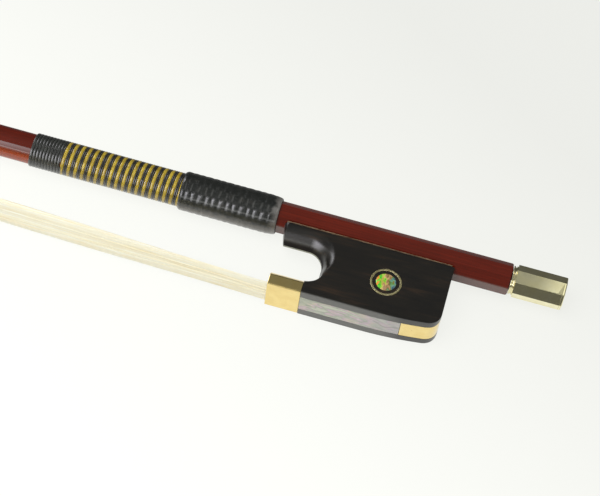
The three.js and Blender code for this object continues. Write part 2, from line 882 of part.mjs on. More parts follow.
function spreadWedge() {
  const half = hairWidth / 2 - glueGap;
  return box(ferruleFront + glueGap, wedgeEnd, wedgeFloor, wedgeTop, -half, half);
}

// The hair lies under the wedge, climbs over the front of the slide and ends in a bound knot
function frogHairKnot() {
  const high = bedInner + glueGap;
  const bendStart = wedgeEnd + glueGap;
  const bendEnd = pearlStart - glueGap;
  const knotEnd = frogMortiseEnd - knotPacking;
  const knotTop = frogMortiseTop - glueGap;
  const lower = [[hairInside, hairFloor], [bendStart, hairFloor], [bendEnd, high], [knotEnd, high]];
  const knot = [[knotEnd, knotTop], [knotEnd - knotLength, knotTop]];
  const path = [...lower.slice(0, -1), [frogMortiseStart + glueGap, high]];
  const upper = path.map(([x, y]) => [x, y + hairThickness]).reverse();
  const outline = [...lower, ...knot, ...upper];
  const half = hairWidth / 2 - glueGap;
  const narrow = half - bedFlare;
  const plan = [
    [hairInside, half], [pearlStart, half], [frogMortiseStart, narrow], [frogMortiseEnd, narrow],
    [frogMortiseEnd, -narrow], [frogMortiseStart, -narrow], [pearlStart, -half], [hairInside, -half],
  ];
  const body = sideSolid(outline, -hairWidth, hairWidth);
  return body.intersect(planSolid(plan, frogBottom - overrun, frogMortiseTop + overrun));
}

add('frog_hair_knot', toGeometry(frogHairKnot()), binding);
add('spread_wedge', toGeometry(spreadWedge()), maple);

function frogPlug() {
  const half = hairWidth / 2 - bedFlare - glueGap;
  const x0 = frogMortiseEnd - knotPacking + glueGap;
  return box(x0, frogMortiseEnd - glueGap, bedInner + glueGap, frogMortiseTop - glueGap, -half, half);
}

add('frog_mortise_plug', toGeometry(frogPlug()), maple);

// One flat ribbon from the ferrule to the head, wider and thicker where it is slack
const ribbonSides = 12;
const ribbonRings = 26;
const ribbonRoundShare = 0.35;

function hairHeight(x) {
  return hairStartHeight - (x - hairInside) * hairSlope;
}

function ribbonRing(x, width, thickness) {
  return Array.from({ length: ribbonSides }, (_, k) => {
    const angle = 2 * Math.PI * (k + 0.5) / ribbonSides;
    const across = Math.sign(Math.cos(angle)) * Math.abs(Math.cos(angle)) ** ribbonRoundShare;
    const up = Math.sign(Math.sin(angle)) * Math.abs(Math.sin(angle)) ** ribbonRoundShare;
    return [x, hairHeight(x) + up * thickness / 2, across * width / 2];
  });
}

function smooth(share) {
  const clamped = THREE.MathUtils.clamp(share, 0, 1);
  return clamped * clamped * (3 - 2 * clamped);
}

function hairRibbon() {
  const from = hairInside - glueGap;
  const to = headRear - headMortiseStart - hairHeadThickness;
  const rings = [];
  for (let i = 0; i <= ribbonRings; i += 1) {
    const share = (i / ribbonRings) ** ribbonSpacingShare;
    const x = THREE.MathUtils.lerp(from, to, share);
    const spread = smooth((ferruleFront - x) / hairSpreadStart);
    const gather = smooth((-x - hairSpreadEnd) / (stickReach - hairSpreadEnd));
    const wide = THREE.MathUtils.lerp(hairWidth - 2 * glueGap, hairSpreadWidth, spread);
    const thick = THREE.MathUtils.lerp(hairThickness, hairSpreadThickness, spread);
    const width = THREE.MathUtils.lerp(wide, hairHeadWidth, gather);
    const thickness = THREE.MathUtils.lerp(thick, hairHeadThickness, gather);
    rings.push(ribbonRing(x, width, thickness));
  }
  return loft(rings);
}

add('hair_ribbon', hairRibbon(), horsehair);

// Underslide, its screws and the eyelet. The lining stands a little above the frog's rails.

function underslide() {
  const outer = trough(liningOuter, liningInset, frogLength - liningInset);
  const inner = trough(handleFlats / 2 + slidingGap, -overrun, frogLength + overrun);
  const above = box(-overrun, frogLength + overrun, liningTop, handleFlats, -handleFlats, handleFlats);
  return cut(outer, inner, above, eyeletShank(glueGap), ...liningScrewHoles());
}

function eyelet() {
  const half = eyeletWidth / 2;
  const eyeletEnd = eyeletFront + eyeletLength;
  const nut = box(eyeletFront, eyeletEnd, -handleFlats / 2, eyeletAbove, -half, half);
  const thread = toSolid(rod(eyeletFront - overrun, eyeletEnd + overrun, screwBore));
  return nut.add(eyeletShank(0)).subtract(thread);
}

add('underslide', toGeometry(underslide()), brass);
const liningScrewNames = ['underslide_screw_front', 'underslide_screw_rear'];
liningScrewPlaces.forEach((x, i) => add(liningScrewNames[i], toGeometry(liningScrew(x)), brass));
add('eyelet', toGeometry(eyelet()), brass);

// Adjuster screw and button

const coreRadius = shellFlats / 2 - shellWall - glueGap;
const coreStart = collarStart + collarLength + glueGap;
const coreEnd = capStart - glueGap;
const screwEnd = coreStart + screwSeatLength;

function buttonCore() {
  const socketRadius = nippleDiameter / 2 + boreGap;
  const socketEnd = nippleEnd + boreGap * 2;
  const seat = screwDiameter / 2 + glueGap;
  const seatEnd = screwEnd + glueGap;
  const profile = [
    [coreStart, socketRadius], [coreStart, coreRadius], [coreEnd, coreRadius], [coreEnd, 0], [seatEnd, 0],
    [seatEnd, seat], [socketEnd, seat], [socketEnd, socketRadius], [coreStart, socketRadius],
  ];
  return turned(profile);
}

function collar() {
  const outer = collarDiameter / 2;
  const inner = nippleDiameter / 2 + boreGap;
  const third = collarLength / 3;
  const waist = outer - collarGroove;
  const profile = [
    [collarStart, inner], [collarStart, outer], [collarStart + third, outer], [collarStart + third, waist],
    [shellStart - third, waist], [shellStart - third, outer], [shellStart, outer], [shellStart, inner],
    [collarStart, inner],
  ];
  return turned(profile);
}

// Octagonal sleeve with its rear edges broken by a shallow cone
function buttonShell() {
  const outer = octagonPrism(shellFlats, shellStart, capStart, buttonTurn);
  const inner = toSolid(rod(shellStart - overrun, capStart + overrun, shellFlats / 2 - shellWall));
  return outer.subtract(inner);
}

function buttonCap() {
  const blank = octagonPrism(shellFlats, capStart, shellEnd, buttonTurn);
  const radius = octagonRadius(shellFlats);
  const cone = [
    [capStart - overrun, 0], [capStart - overrun, radius + overrun], [capStart, radius + overrun],
    [shellEnd - shellEdge, radius], [shellEnd, radius - shellEdge], [shellEnd, 0],
  ];
  return blank.intersect(toSolid(turned(cone, 2 * roundSides)));
}

add('adjuster_screw', rod(screwTipStart, screwEnd, screwDiameter / 2), steel);
add('button_core', buttonCore(), ebony);
add('button_collar', collar(), brass);
add('button_shell', toGeometry(buttonShell()), brass);
add('button_cap', toGeometry(buttonCap()), brass);

// Leather grip over the end of the lapping

function bend(geometry) {
  const position = geometry.attributes.position;
  for (let i = 0; i < position.count; i += 1) {
    position.setY(i, position.getY(i) + axisHeight(position.getX(i)));
  }
  return geometry;
}

const sleeveInner = octagonRadius(handleFlats) + glueGap;
const sleeveOuter = lappingDiameter / 2;
const leatherSteps = 6;

function grip() {
  const inner = sleeveOuter + glueGap;
  const outer = gripDiameter / 2;
  const tail = gripEndDiameter / 2;
  const bevelTop = outer - gripFrontBevel / 2;
  const profile = [[gripStart, inner], [gripStart, bevelTop], [gripStart + gripFrontBevel, outer]];
  for (let i = 0; i <= leatherSteps; i += 1) {
    const share = i / leatherSteps;
    const fall = 1 - Math.cos(share * Math.PI / 2);
    const x = gripEnd - gripBevel + gripBevel * Math.sin(share * Math.PI / 2);
    profile.push([x, outer - (outer - tail) * fall]);
  }
  profile.push([gripEnd, inner], [gripStart, inner]);
  return bend(turned(profile));
}

function lappingUnderGrip() {
  return bend(sleeve(gripStart + glueGap, gripEnd, sleeveInner, sleeveOuter));
}

add('leather_grip', grip(), leather);
add('lapping_under_grip', lappingUnderGrip(), blackThread);

// A strand wound round the stick. The route is drawn on the unrolled surface: a straight run
// along the stick, a turn, the winding itself, a turn back, and a straight run at the far end.
function strandRoute(x0, x1, pitch, width, startTurn) {
  const radius = lappingDiameter / 2;
  const around = 2 * Math.PI * radius;
  const climb = Math.atan2(pitch, around);
  const swing = Math.PI / 2 - climb;
  const bendAlong = strandBend * Math.sin(swing);
  const bendAcross = strandBend * (1 - Math.cos(swing));
  const woundLength = x1 - x0 - 2 * (width + bendAlong);
  const loops = woundLength / pitch;
  const steps = Math.round(loops * strandStepsPerLoop);
  const flat = [[x0, 0]];
  for (let i = 0; i <= strandBendSteps; i += 1) {
    const angle = swing * i / strandBendSteps;
    flat.push([x0 + width + strandBend * Math.sin(angle), strandBend * (1 - Math.cos(angle))]);
  }
  for (let i = 1; i < steps; i += 1) {
    const share = i / steps;
    flat.push([x0 + width + bendAlong + woundLength * share, bendAcross + around * loops * share]);
  }
  const farAcross = 2 * bendAcross + around * loops;
  for (let i = strandBendSteps; i >= 0; i -= 1) {
    const angle = swing * i / strandBendSteps;
    flat.push([x1 - width - strandBend * Math.sin(angle), farAcross - strandBend * (1 - Math.cos(angle))]);
  }
  flat.push([x1, farAcross]);
  return flat.map(([x, across]) => [x, across / radius - startTurn]);
}

// An unbroken flattened tube along such a route
function strandTube(route, width, inner, outer) {
  const middle = (inner + outer) / 2;
  const halfHeight = (outer - inner) / 2;
  const place = ([x, turn], lift = 0) => {
    const reach = middle + lift;
    return new THREE.Vector3(x, axisHeight(x) + reach * Math.sin(turn), reach * Math.cos(turn));
  };
  const rings = route.map((point, i) => {
    const before = place(route[Math.max(0, i - 1)]);
    const after = place(route[Math.min(route.length - 1, i + 1)]);
    const along = after.sub(before).normalize();
    const centre = place(point);
    const out = place(point, 1).sub(centre).normalize();
    const side = new THREE.Vector3().crossVectors(out, along).normalize();
    return Array.from({ length: strandSides }, (_, k) => {
      const angle = 2 * Math.PI * (k + strandTwistShare) / strandSides;
      const corner = centre.clone();
      corner.addScaledVector(side, Math.cos(angle) * width / 2);
      corner.addScaledVector(out, Math.sin(angle) * halfHeight);
      return corner.toArray();
    });
  });
  return loft(rings);
}

// Least gap between points of one strand that lie a loop or more apart along it
function leastGap(route, width) {
  const radius = lappingDiameter / 2;
  const points = route.map(([x, turn]) => (
    new THREE.Vector3(x, radius * Math.sin(turn), radius * Math.cos(turn))
  ));
  let least = Infinity;
  for (let i = 0; i < points.length; i += 1) {
    for (let j = i + Math.round(strandStepsPerLoop / 2); j < points.length; j += 1) {
      least = Math.min(least, points[i].distanceTo(points[j]));
    }
  }
  return least - width;
}

const strandInner = roundDiameter / 2 + strandSeat;
const strandOuter = lappingDiameter / 2;
const windingStart = lappingStart + strandCover;
const windingEnd = gripStart - strandCover;
const halfTurn = Math.PI;
const yellowRoute = strandRoute(windingStart, windingEnd, lappingPitch, yellowWidth, 0);
const blackRoute = strandRoute(windingStart, windingEnd, lappingPitch, blackWidth, halfTurn);
const threadRoute = strandRoute(threadStart, lappingStart - strandCover, threadPitch, threadWidth, 0);
const strands = [
  ['lapping_yellow_strand', yellowRoute, yellowWidth, yellowThread],
  ['lapping_black_strand', blackRoute, blackWidth, blackThread],
  ['thread_lapping', threadRoute, threadWidth, blackThread],
];
for (const [name, route, width, material] of strands) {
  add(name, strandTube(route, width, strandInner, strandOuter), material);
  console.log(`${name}: least gap to itself ${leastGap(route, width).toFixed(2)} mm`);
}

// Move the whole bow so that it lies on its side over the origin

const boxOfBow = new THREE.Box3().setFromObject(bow);
const middleOfBow = boxOfBow.getCenter(new THREE.Vector3());
bow.position.set(-middleOfBow.x, -middleOfBow.y, -boxOfBow.min.z);

export default bow;
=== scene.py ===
# %% [markdown]
# # A cello bow on a pale table
#
# This lesson dresses the solids of a cello bow for a studio picture. The solids say where every
# piece is and how it moves. Here each piece that shows gets its fine shape, its softened edges
# and its finish: varnished wood, polished ebony, gilt metal, shell, leather, thread and hair.

# %% Load the solids
import math

import bmesh
import bpy
import numpy as np
from mathutils import Matrix, Vector


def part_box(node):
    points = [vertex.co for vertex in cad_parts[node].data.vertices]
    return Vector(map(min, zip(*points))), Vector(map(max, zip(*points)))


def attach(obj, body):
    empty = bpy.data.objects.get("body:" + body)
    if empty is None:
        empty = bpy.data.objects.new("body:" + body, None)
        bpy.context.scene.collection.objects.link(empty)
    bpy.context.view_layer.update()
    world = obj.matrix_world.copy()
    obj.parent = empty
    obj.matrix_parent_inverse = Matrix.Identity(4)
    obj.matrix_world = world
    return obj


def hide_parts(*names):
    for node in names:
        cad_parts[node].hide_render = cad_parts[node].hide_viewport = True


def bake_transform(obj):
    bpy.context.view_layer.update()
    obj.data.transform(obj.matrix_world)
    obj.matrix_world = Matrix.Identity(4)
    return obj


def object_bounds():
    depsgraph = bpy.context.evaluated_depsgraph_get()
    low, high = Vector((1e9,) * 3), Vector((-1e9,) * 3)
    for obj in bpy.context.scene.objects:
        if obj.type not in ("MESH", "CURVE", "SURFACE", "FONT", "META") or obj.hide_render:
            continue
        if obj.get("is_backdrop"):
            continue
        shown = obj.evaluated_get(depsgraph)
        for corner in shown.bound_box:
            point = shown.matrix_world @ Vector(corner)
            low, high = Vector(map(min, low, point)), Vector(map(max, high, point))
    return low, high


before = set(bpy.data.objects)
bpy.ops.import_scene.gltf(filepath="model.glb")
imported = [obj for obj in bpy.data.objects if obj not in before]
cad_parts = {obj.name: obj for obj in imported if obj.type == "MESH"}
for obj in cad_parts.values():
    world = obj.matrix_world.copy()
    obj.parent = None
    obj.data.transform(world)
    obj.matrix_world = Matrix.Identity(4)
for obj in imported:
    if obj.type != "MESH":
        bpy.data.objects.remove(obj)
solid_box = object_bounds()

print("solids:", len(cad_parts))

# %% [markdown]
# ## One set of axes for the bench
#
# A bow maker measures from the front of the frog and from the middle of the stick, in
# millimetres. The same is done here: X runs towards the button, Y is across from the hair to the
# stick, Z is square to the frog's side, and zero is on the stick's axis at the front of the frog.
# A finished mesh is moved to the scene's metres in one step, so its object stays at the origin.

# %% Bench axes
MM = 0.001
frog_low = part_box("frog_body")[0]
cap_low, cap_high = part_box("button_cap")
stick_axis = (cap_low + cap_high) / 2
bench_zero = Vector((frog_low.x, stick_axis.y, stick_axis.z))
TO_SCENE = Matrix.Translation(bench_zero) @ Matrix.Scale(MM, 4)


def span(node):
    """Lowest and highest corner of a solid, in bench millimetres."""
    low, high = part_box(node)
    return (low - bench_zero) / MM, (high - bench_zero) / MM


print("frog from and to:", [[round(v, 2) for v in corner] for corner in span("frog_body")])

# %% [markdown]
# ## The camera and the table
#
# The camera was fitted to the frog's edges in the photograph, which gives its three turns, its
# distance and its lens. It comes first, so that every later piece can be judged through it. The
# table is a plain sheet at the height of the frog's lower side. Seen straight by the camera it is
# nearly white by its own colour, while the part of its light that comes from the lamps keeps the
# bow's soft shadow.

# %% Camera
CAMERA_PLACE = Vector((45.0, -338.2, 567.1))
CAMERA_TURNS = [(30.167, "X"), (3.37, "Y"), (15.274, "Z")]
CAMERA_LENS = 132.85


def make_camera():
    data = bpy.data.cameras.new("camera")
    data.lens = CAMERA_LENS
    data.sensor_fit = "HORIZONTAL"
    data.clip_start = 0.01
    camera = bpy.data.objects.new("camera", data)
    bpy.context.scene.collection.objects.link(camera)
    turn = Matrix.Identity(4)
    for degrees, axis in CAMERA_TURNS:
        turn = turn @ Matrix.Rotation(math.radians(degrees), 4, axis)
    camera.matrix_world = Matrix.Translation(TO_SCENE @ CAMERA_PLACE) @ turn
    bpy.context.scene.camera = camera
    return camera


camera = make_camera()
bpy.context.scene.view_settings.view_transform = "Standard"
print("camera at", [round(v, 3) for v in camera.location])

# %% [markdown]
# ## Node maths as plain expressions
#
# A finish is mostly arithmetic on textures: more streaks here, less shine there. Wiring Math
# nodes by hand hides that arithmetic, so one small class wraps a socket and turns operators into
# nodes: the sum of two wires is an Add node, and a power is a Power node.

# %% Wires


class Wire:
    """An output socket that can be used in sums."""

    def __init__(self, nodes, socket):
        self.nodes = nodes
        self.socket = socket

    def maths(self, operation, *others, clamp=False):
        return self.nodes.maths(operation, self, *others, clamp=clamp)

    def __add__(self, other):
        return self.maths("ADD", other)

    def __sub__(self, other):
        return self.maths("SUBTRACT", other)

    def __rsub__(self, other):
        return self.nodes.maths("SUBTRACT", other, self)

    def __mul__(self, other):
        return self.maths("MULTIPLY", other)

    def __pow__(self, other):
        return self.maths("POWER", other)

    __radd__ = __add__
    __rmul__ = __mul__

    def clamp(self):
        return self.maths("ADD", 0, clamp=True)


print("a wire is:", Wire.__doc__)

# %% [markdown]
# Every tree of nodes is filled in the same way: a node is added, its settings are written, and
# each of its sockets gets a number, a colour or a wire. One class does that for the finishes, for
# the light of the room and for the windings.

# %% Node trees


class Nodes:
    """A node tree, and one way to add a node to it."""

    def __init__(self, tree):
        self.tree = tree

    def node(self, kind, sockets=None, output=0, **settings):
        node = self.tree.nodes.new(kind)
        for key, value in settings.items():
            setattr(node, key, value)
        for key, value in (sockets or {}).items():
            self.feed(node.inputs[key], value)
        return Wire(self, node.outputs[output])

    def feed(self, socket, value):
        if isinstance(value, Wire):
            self.tree.links.new(value.socket, socket)
        else:
            socket.default_value = value

    def maths(self, operation, *values, clamp=False):
        return self.node("ShaderNodeMath", dict(enumerate(values)), operation=operation, use_clamp=clamp)

    def split(self, vector):
        parts = self.node("ShaderNodeSeparateXYZ", {0: vector}).socket.node.outputs
        return [Wire(self, part) for part in parts]

    def grey(self, value, low, high):
        """A grey that follows a value between two stops, each a place and its grey."""
        sockets = {"Value": value, "From Min": low[0], "From Max": high[0], "To Min": low[1],
                   "To Max": high[1]}
        return self.node("ShaderNodeMapRange", sockets, clamp=True)

    def mix(self, share, first, second, blend="MIX"):
        sockets = {0: share, 6: first, 7: second}
        return self.node("ShaderNodeMix", sockets, 2, data_type="RGBA", blend_type=blend)

    def ray(self, kind):
        """1 for rays of this kind and 0 for all others."""
        return self.node("ShaderNodeLightPath", output=f"Is {kind} Ray")


print("a tree is:", Nodes.__doc__)

# %% [markdown]
# A finish is a tree with one Principled surface. Its patterns read millimetres, so that their
# scales can be compared with the real grain: noise of scale 2 has about two grains in each
# millimetre, and a small scale along X makes long streaks.

# %% Surfaces


class Finish(Nodes):
    """A material with a Principled surface, whose patterns are given in millimetres."""

    def __init__(self, name, **surface):
        self.material = bpy.data.materials.new(name)
        self.material.use_nodes = True
        super().__init__(self.material.node_tree)
        self.surface = self.tree.nodes["Principled BSDF"]
        self.set(**surface)

    def set(self, **surface):
        for key, value in surface.items():
            self.feed(self.surface.inputs[key.replace("_", " ")], value)

    def place(self, scale=(1, 1, 1), turn=(0, 0, 0), move=(0, 0, 0)):
        """The piece's own coordinates in millimetres, stretched by scale."""
        source = self.node("ShaderNodeTexCoord", output="Object")
        sockets = {"Vector": source, "Location": move, "Rotation": turn, "Scale": [v / MM for v in scale]}
        return self.node("ShaderNodeMapping", sockets, vector_type="POINT")

    def bench(self):
        """X, Y and Z of the bench in millimetres."""
        return self.split(self.place(move=tuple(-bench_zero / MM)))

    def noise(self, scale, detail=3.0, distortion=0.0, turn=(0, 0, 0)):
        """Noise that is longer where its scale is smaller."""
        sockets = {"Vector": self.place(scale, turn), "Scale": 1.0, "Detail": detail,
                   "Roughness": 0.55, "Distortion": distortion}
        return self.node("ShaderNodeTexNoise", sockets, "Fac")

    def ramp(self, value, *stops):
        """Colours or greys along a value: each stop is a place and a colour or grey."""
        made = self.node("ShaderNodeValToRGB", {"Fac": value}, "Color")
        elements = made.socket.node.color_ramp.elements
        while len(elements) < len(stops):
            elements.new(1)
        for element, (place, colour) in zip(elements, stops):
            element.position = place
            element.color = colour if isinstance(colour, tuple) else (colour, colour, colour, 1)
        return made

    def rough(self, pattern, low, high):
        """Roughness between two values, as the pattern has it."""
        return self.grey(pattern, (0.3, low), (0.7, high))

    def bump(self, height, depth, **under):
        """A bump of the given depth in millimetres."""
        return self.node("ShaderNodeBump", {"Height": height, "Distance": depth * MM, **under})


print("a finish is:", Finish.__doc__)

# %% Colours


def paint(red, green, blue):
    """A colour as it is seen, from 0 to 255, as the linear value that a shader works in."""
    def linear(value):
        share = value / 255
        return share / 12.92 if share <= 0.04045 else ((share + 0.055) / 1.055) ** 2.4
    return (linear(red), linear(green), linear(blue), 1)


print("white is", paint(255, 255, 255))

# %% [markdown]
# ## Finishes
#
# Each finish follows what the real surface does. The stick is dark red wood under a glossy
# varnish, so its grain lies in the base colour and the shine in the coat. Ebony has almost no
# colour of its own and lives from its polish, which is gone where the thumb rubs the throat. All
# patterns read the piece's own coordinates in millimetres, so a grain line is as long as it is
# on the bow.

# %% Wood finishes


def varnished_wood():
    finish = Finish("varnished_wood", Coat_Weight=1.0, Coat_Roughness=0.05, Coat_IOR=1.6,
                    Specular_IOR_Level=0.0)
    streaks = finish.noise((0.035, 2.2, 2.2), detail=6)
    patches = finish.noise((0.05, 0.16, 0.16), detail=2)
    tone = finish.ramp(streaks * 0.8 + patches * 0.45 - 0.12, (0.25, paint(76, 15, 0)),
                       (0.5, paint(90, 19, 2)), (0.72, paint(106, 26, 5)))
    x, y, z = finish.bench()
    # Painted light: the lower side of the round stick, towards the table, is painted paler orange, as if
    # lit from below.
    painted_lit_underside = finish.grey(z, (3.3, 0), (1.6, 1)) * finish.grey(x, (-70, 0.8), (-20, 0))
    tone = finish.mix(painted_lit_underside, tone, paint(176, 76, 40))
    # Painted reflection: the handle's flat that faces the hair is painted greyish pink, standing in for the
    # pale table mirrored in it.
    painted_reflection_flat = finish.grey(y, (-4.2, 0), (-4.4, 0.7)) * finish.grey(x, (-22, 0), (-10, 1))
    tone = finish.mix(painted_reflection_flat, tone, paint(104, 78, 72))
    pores = finish.grey(finish.noise((0.35, 7, 7), detail=2), (0.60, 0), (0.70, 1))
    finish.set(Base_Color=finish.mix(pores * 0.45, tone, paint(30, 6, 2)),
               Roughness=finish.rough(streaks, 0.32, 0.42),
               Normal=finish.bump(pores * -1 + streaks * 0.4, 0.012))
    return finish.material


def ebony():
    finish = Finish("ebony", Coat_Roughness=0.28, Coat_IOR=1.65, Specular_IOR_Level=0.0)
    grain = finish.noise((0.09, 1.1, 1.1), detail=4, distortion=0.5, turn=(0, 0, 0.12))
    patches = finish.noise((0.06, 0.25, 0.25), detail=1, turn=(0, 0, 0.12))
    tone = finish.ramp(grain * 0.55 + patches * 0.45, (0.40, paint(12, 10, 8)),
                       (0.54, paint(22, 18, 13)), (0.68, paint(48, 34, 22)))
    x, y, z = finish.bench()
    # Painted reflection: the lowest edges of the frog are painted grey, standing in for the pale table
    # mirrored in them.
    painted_reflection_foot = finish.grey(y, (-26.1, 0), (-26.5, 1))
    tone = finish.mix(painted_reflection_foot, tone, paint(86, 86, 82))
    middle = z.maths("ABSOLUTE")
    throat = (finish.grey(x, (15.0, 1), (15.5, 0)) * finish.grey(y, (-22.0, 0), (-21.0, 1))
              * finish.grey(y, (-7.5, 1), (-6.5, 0)))
    # Painted highlight: a thin pale line along the middle of the throat's edge, where the two scoops meet.
    painted_highlight_ridge = throat * finish.grey(middle, (0.30, 1), (0.42, 0)) * finish.grey(y, (-15.0, 0), (-12.5, 1))
    tone = finish.mix(painted_highlight_ridge, tone, paint(176, 178, 166))
    dull = throat * finish.grey(middle, (1.2, 1), (2.2, 0))
    tone = finish.mix((dull - painted_highlight_ridge).clamp() * 0.8, tone, paint(40, 38, 38))
    pores = finish.grey(finish.noise((0.5, 9, 9), detail=1), (0.62, 0), (0.7, 1))
    finish.set(Base_Color=finish.mix(pores * 0.2, tone, paint(50, 42, 34)),
               Coat_Weight=1 - dull * 0.85,
               Roughness=finish.rough(grain, 0.20, 0.28),
               Normal=finish.bump(grain * 0.5 - pores, 0.003))
    return finish.material


def bare_maple():
    finish = Finish("maple")
    grain = finish.noise((3, 0.3, 3), detail=4)
    finish.set(Base_Color=finish.ramp(grain, (0.3, paint(176, 142, 96)), (0.7, paint(214, 186, 140))),
               Roughness=finish.rough(grain, 0.55, 0.7))
    return finish.material


WOOD, EBONY, MAPLE = varnished_wood(), ebony(), bare_maple()
print("woods:", WOOD.name, EBONY.name, MAPLE.name)

# %% [markdown]
# Metal takes nearly all of its look from what it reflects. The gilt fittings are polished by
# hand, so the roughness wanders a little and very shallow waves break up the reflections. The end
# of the button is worn down by the fingers, so its reflection bends there. Brass and steel inside
# the bow are plain machined metal.

# %% Metal finishes
BUTTON_WORN_FROM, BUTTON_WORN_TO = 77.5, 84.5


def polished_metal(name, colour, dull, roughness, wave=0.004, dip=0.0):
    """Metal whose polish wanders. The dip, in millimetres, is how far its far end is worn."""
    finish = Finish(name, Metallic=1.0)
    handling = finish.noise((0.35, 0.35, 0.35), detail=4)
    scratches = finish.noise((0.6, 8, 8), turn=(0, 0.3, 0.2))
    wander = handling * 0.6 + scratches * 0.4
    finish.set(Base_Color=finish.mix(finish.grey(handling, (0.35, 0), (0.7, 1)), colour, dull),
               Roughness=finish.rough(wander, roughness, roughness * 2))
    if dip:
        x, y = finish.bench()[:2]
        worn = finish.grey(x - y * 0.4, (BUTTON_WORN_FROM, 0), (BUTTON_WORN_TO, 1)) ** 2 * -1
        finish.set(Normal=finish.bump(handling, wave, Normal=finish.bump(worn, dip)))
    else:
        finish.set(Normal=finish.bump(handling + scratches * 0.1, wave))
    return finish.material


GILT = polished_metal("gilt_metal", paint(240, 217, 150), paint(234, 208, 138), 0.08, wave=0.002)
BUTTON_METAL = polished_metal("pale_gold", paint(236, 230, 192), paint(226, 218, 172), 0.08, dip=0.068)
EYE_RING_METAL = polished_metal("pale_gilt", paint(206, 198, 154), paint(184, 176, 134), 0.45, wave=0.001)
BRASS = polished_metal("brass", paint(226, 206, 140), paint(206, 184, 120), 0.2)
LINING = polished_metal("worn_lining", paint(126, 106, 84), paint(100, 84, 68), 0.4)
STEEL = polished_metal("steel", paint(190, 190, 188), paint(150, 150, 150), 0.25)
print("metals:", GILT.name, BUTTON_METAL.name, EYE_RING_METAL.name, BRASS.name, LINING.name, STEEL.name)

# %% [markdown]
# Shell is made of thin curved layers. A slow noise gives the layers, and a ramp turns its height
# into pale pink, green and grey for the slide, and into strong green, orange and blue for the
# eye. Small chips set the eye's colours against each other. A clear coat gives the polish.

# %% Shell and bone finishes


def mother_of_pearl():
    finish = Finish("pearl", Coat_Weight=1.0, Coat_Roughness=0.06, Specular_IOR_Level=0.5)
    x, _, z = finish.bench()
    folds = finish.noise((0.10, 0.2, 0.34), detail=1.5, distortion=0.9, turn=(0, 0.4, 0))
    tone = finish.ramp(folds, (0.34, paint(146, 152, 132)), (0.42, paint(170, 174, 150)),
                       (0.48, paint(190, 176, 156)), (0.53, paint(190, 164, 174)),
                       (0.58, paint(154, 160, 142)), (0.66, paint(186, 190, 168)))
    cool = finish.grey(x, (26.0, 0), (38.0, 0.55))
    tone = finish.mix(cool, tone, paint(158, 152, 162))
    fine = finish.noise((0.5, 0.5, 0.8), detail=2, distortion=0.6)
    tone = finish.mix(0.4, tone, finish.ramp(fine, (0.3, 0.36), (0.7, 0.68)), "SOFT_LIGHT")
    fold = z + (x * 0.9).maths("SINE") * 0.7 + (x - 37.0) * 0.16
    edge = finish.grey(fold.maths("ABSOLUTE"), (0.0, 0.5), (0.55, 0)) * finish.grey(x, (30.0, 0), (35.0, 1))
    finish.set(Base_Color=finish.mix(edge, tone, paint(120, 112, 116)),
               Roughness=finish.rough(fine, 0.16, 0.28),
               Normal=finish.bump(folds, 0.006))
    return finish.material


def abalone():
    finish = Finish("abalone", Coat_Weight=1.0, Coat_Roughness=0.04, Specular_IOR_Level=0.5)
    x = finish.bench()[0]
    layers = finish.noise((0.75, 0.42, 0.4), detail=2, distortion=0.8, turn=(0, 0, 0.1))
    across = finish.grey(x, (30.8, 0), (36.8, 1)) + (layers - 0.5) * 1.1
    tone = finish.ramp(across, (0.02, paint(236, 150, 60)), (0.12, paint(96, 226, 60)),
                       (0.22, paint(60, 170, 40)), (0.32, paint(150, 214, 60)),
                       (0.42, paint(206, 176, 96)), (0.52, paint(176, 140, 104)),
                       (0.62, paint(132, 104, 50)), (0.72, paint(96, 140, 60)),
                       (0.84, paint(120, 168, 150)), (0.96, paint(56, 84, 108)))
    cells = {"Vector": finish.place(scale=(0.9, 0.45, 0.5)), "Scale": 1.0}
    chips = finish.node("ShaderNodeTexVoronoi", cells, "Color", feature="F1")
    chip = finish.node("ShaderNodeSeparateColor", {0: chips})
    tone = finish.mix(0.7, tone, finish.ramp(chip, (0.1, 0.30), (0.9, 0.74)), "SOFT_LIGHT")
    finish.set(Base_Color=tone,
               Roughness=finish.rough(layers, 0.12, 0.25),
               Normal=finish.bump(layers, 0.004))
    return finish.material


def bone():
    finish = Finish("bone", Specular_IOR_Level=0.5)
    lines = finish.noise((0.06, 2.5, 1.2), detail=4)
    finish.set(Base_Color=finish.ramp(lines, (0.3, paint(222, 212, 186)), (0.7, paint(240, 232, 212))),
               Roughness=finish.rough(lines, 0.25, 0.38))
    return finish.material


PEARL, ABALONE, BONE = mother_of_pearl(), abalone(), bone()
print("shell and bone:", PEARL.name, ABALONE.name, BONE.name)

# %% [markdown]
# The soft finishes are leather, thread and hair. Leather is a field of small cells under a polish
# that comes in specks, and it is paler at its end by the frog. Its lower side, towards the table,
# is painted a paler grey in mottled patches, a painted reflection of the table. The lapping is
# smooth and a little glossy, and the fine thread is waxed. Hair is nearly white with darker lines
# along it.

# %% Soft finishes


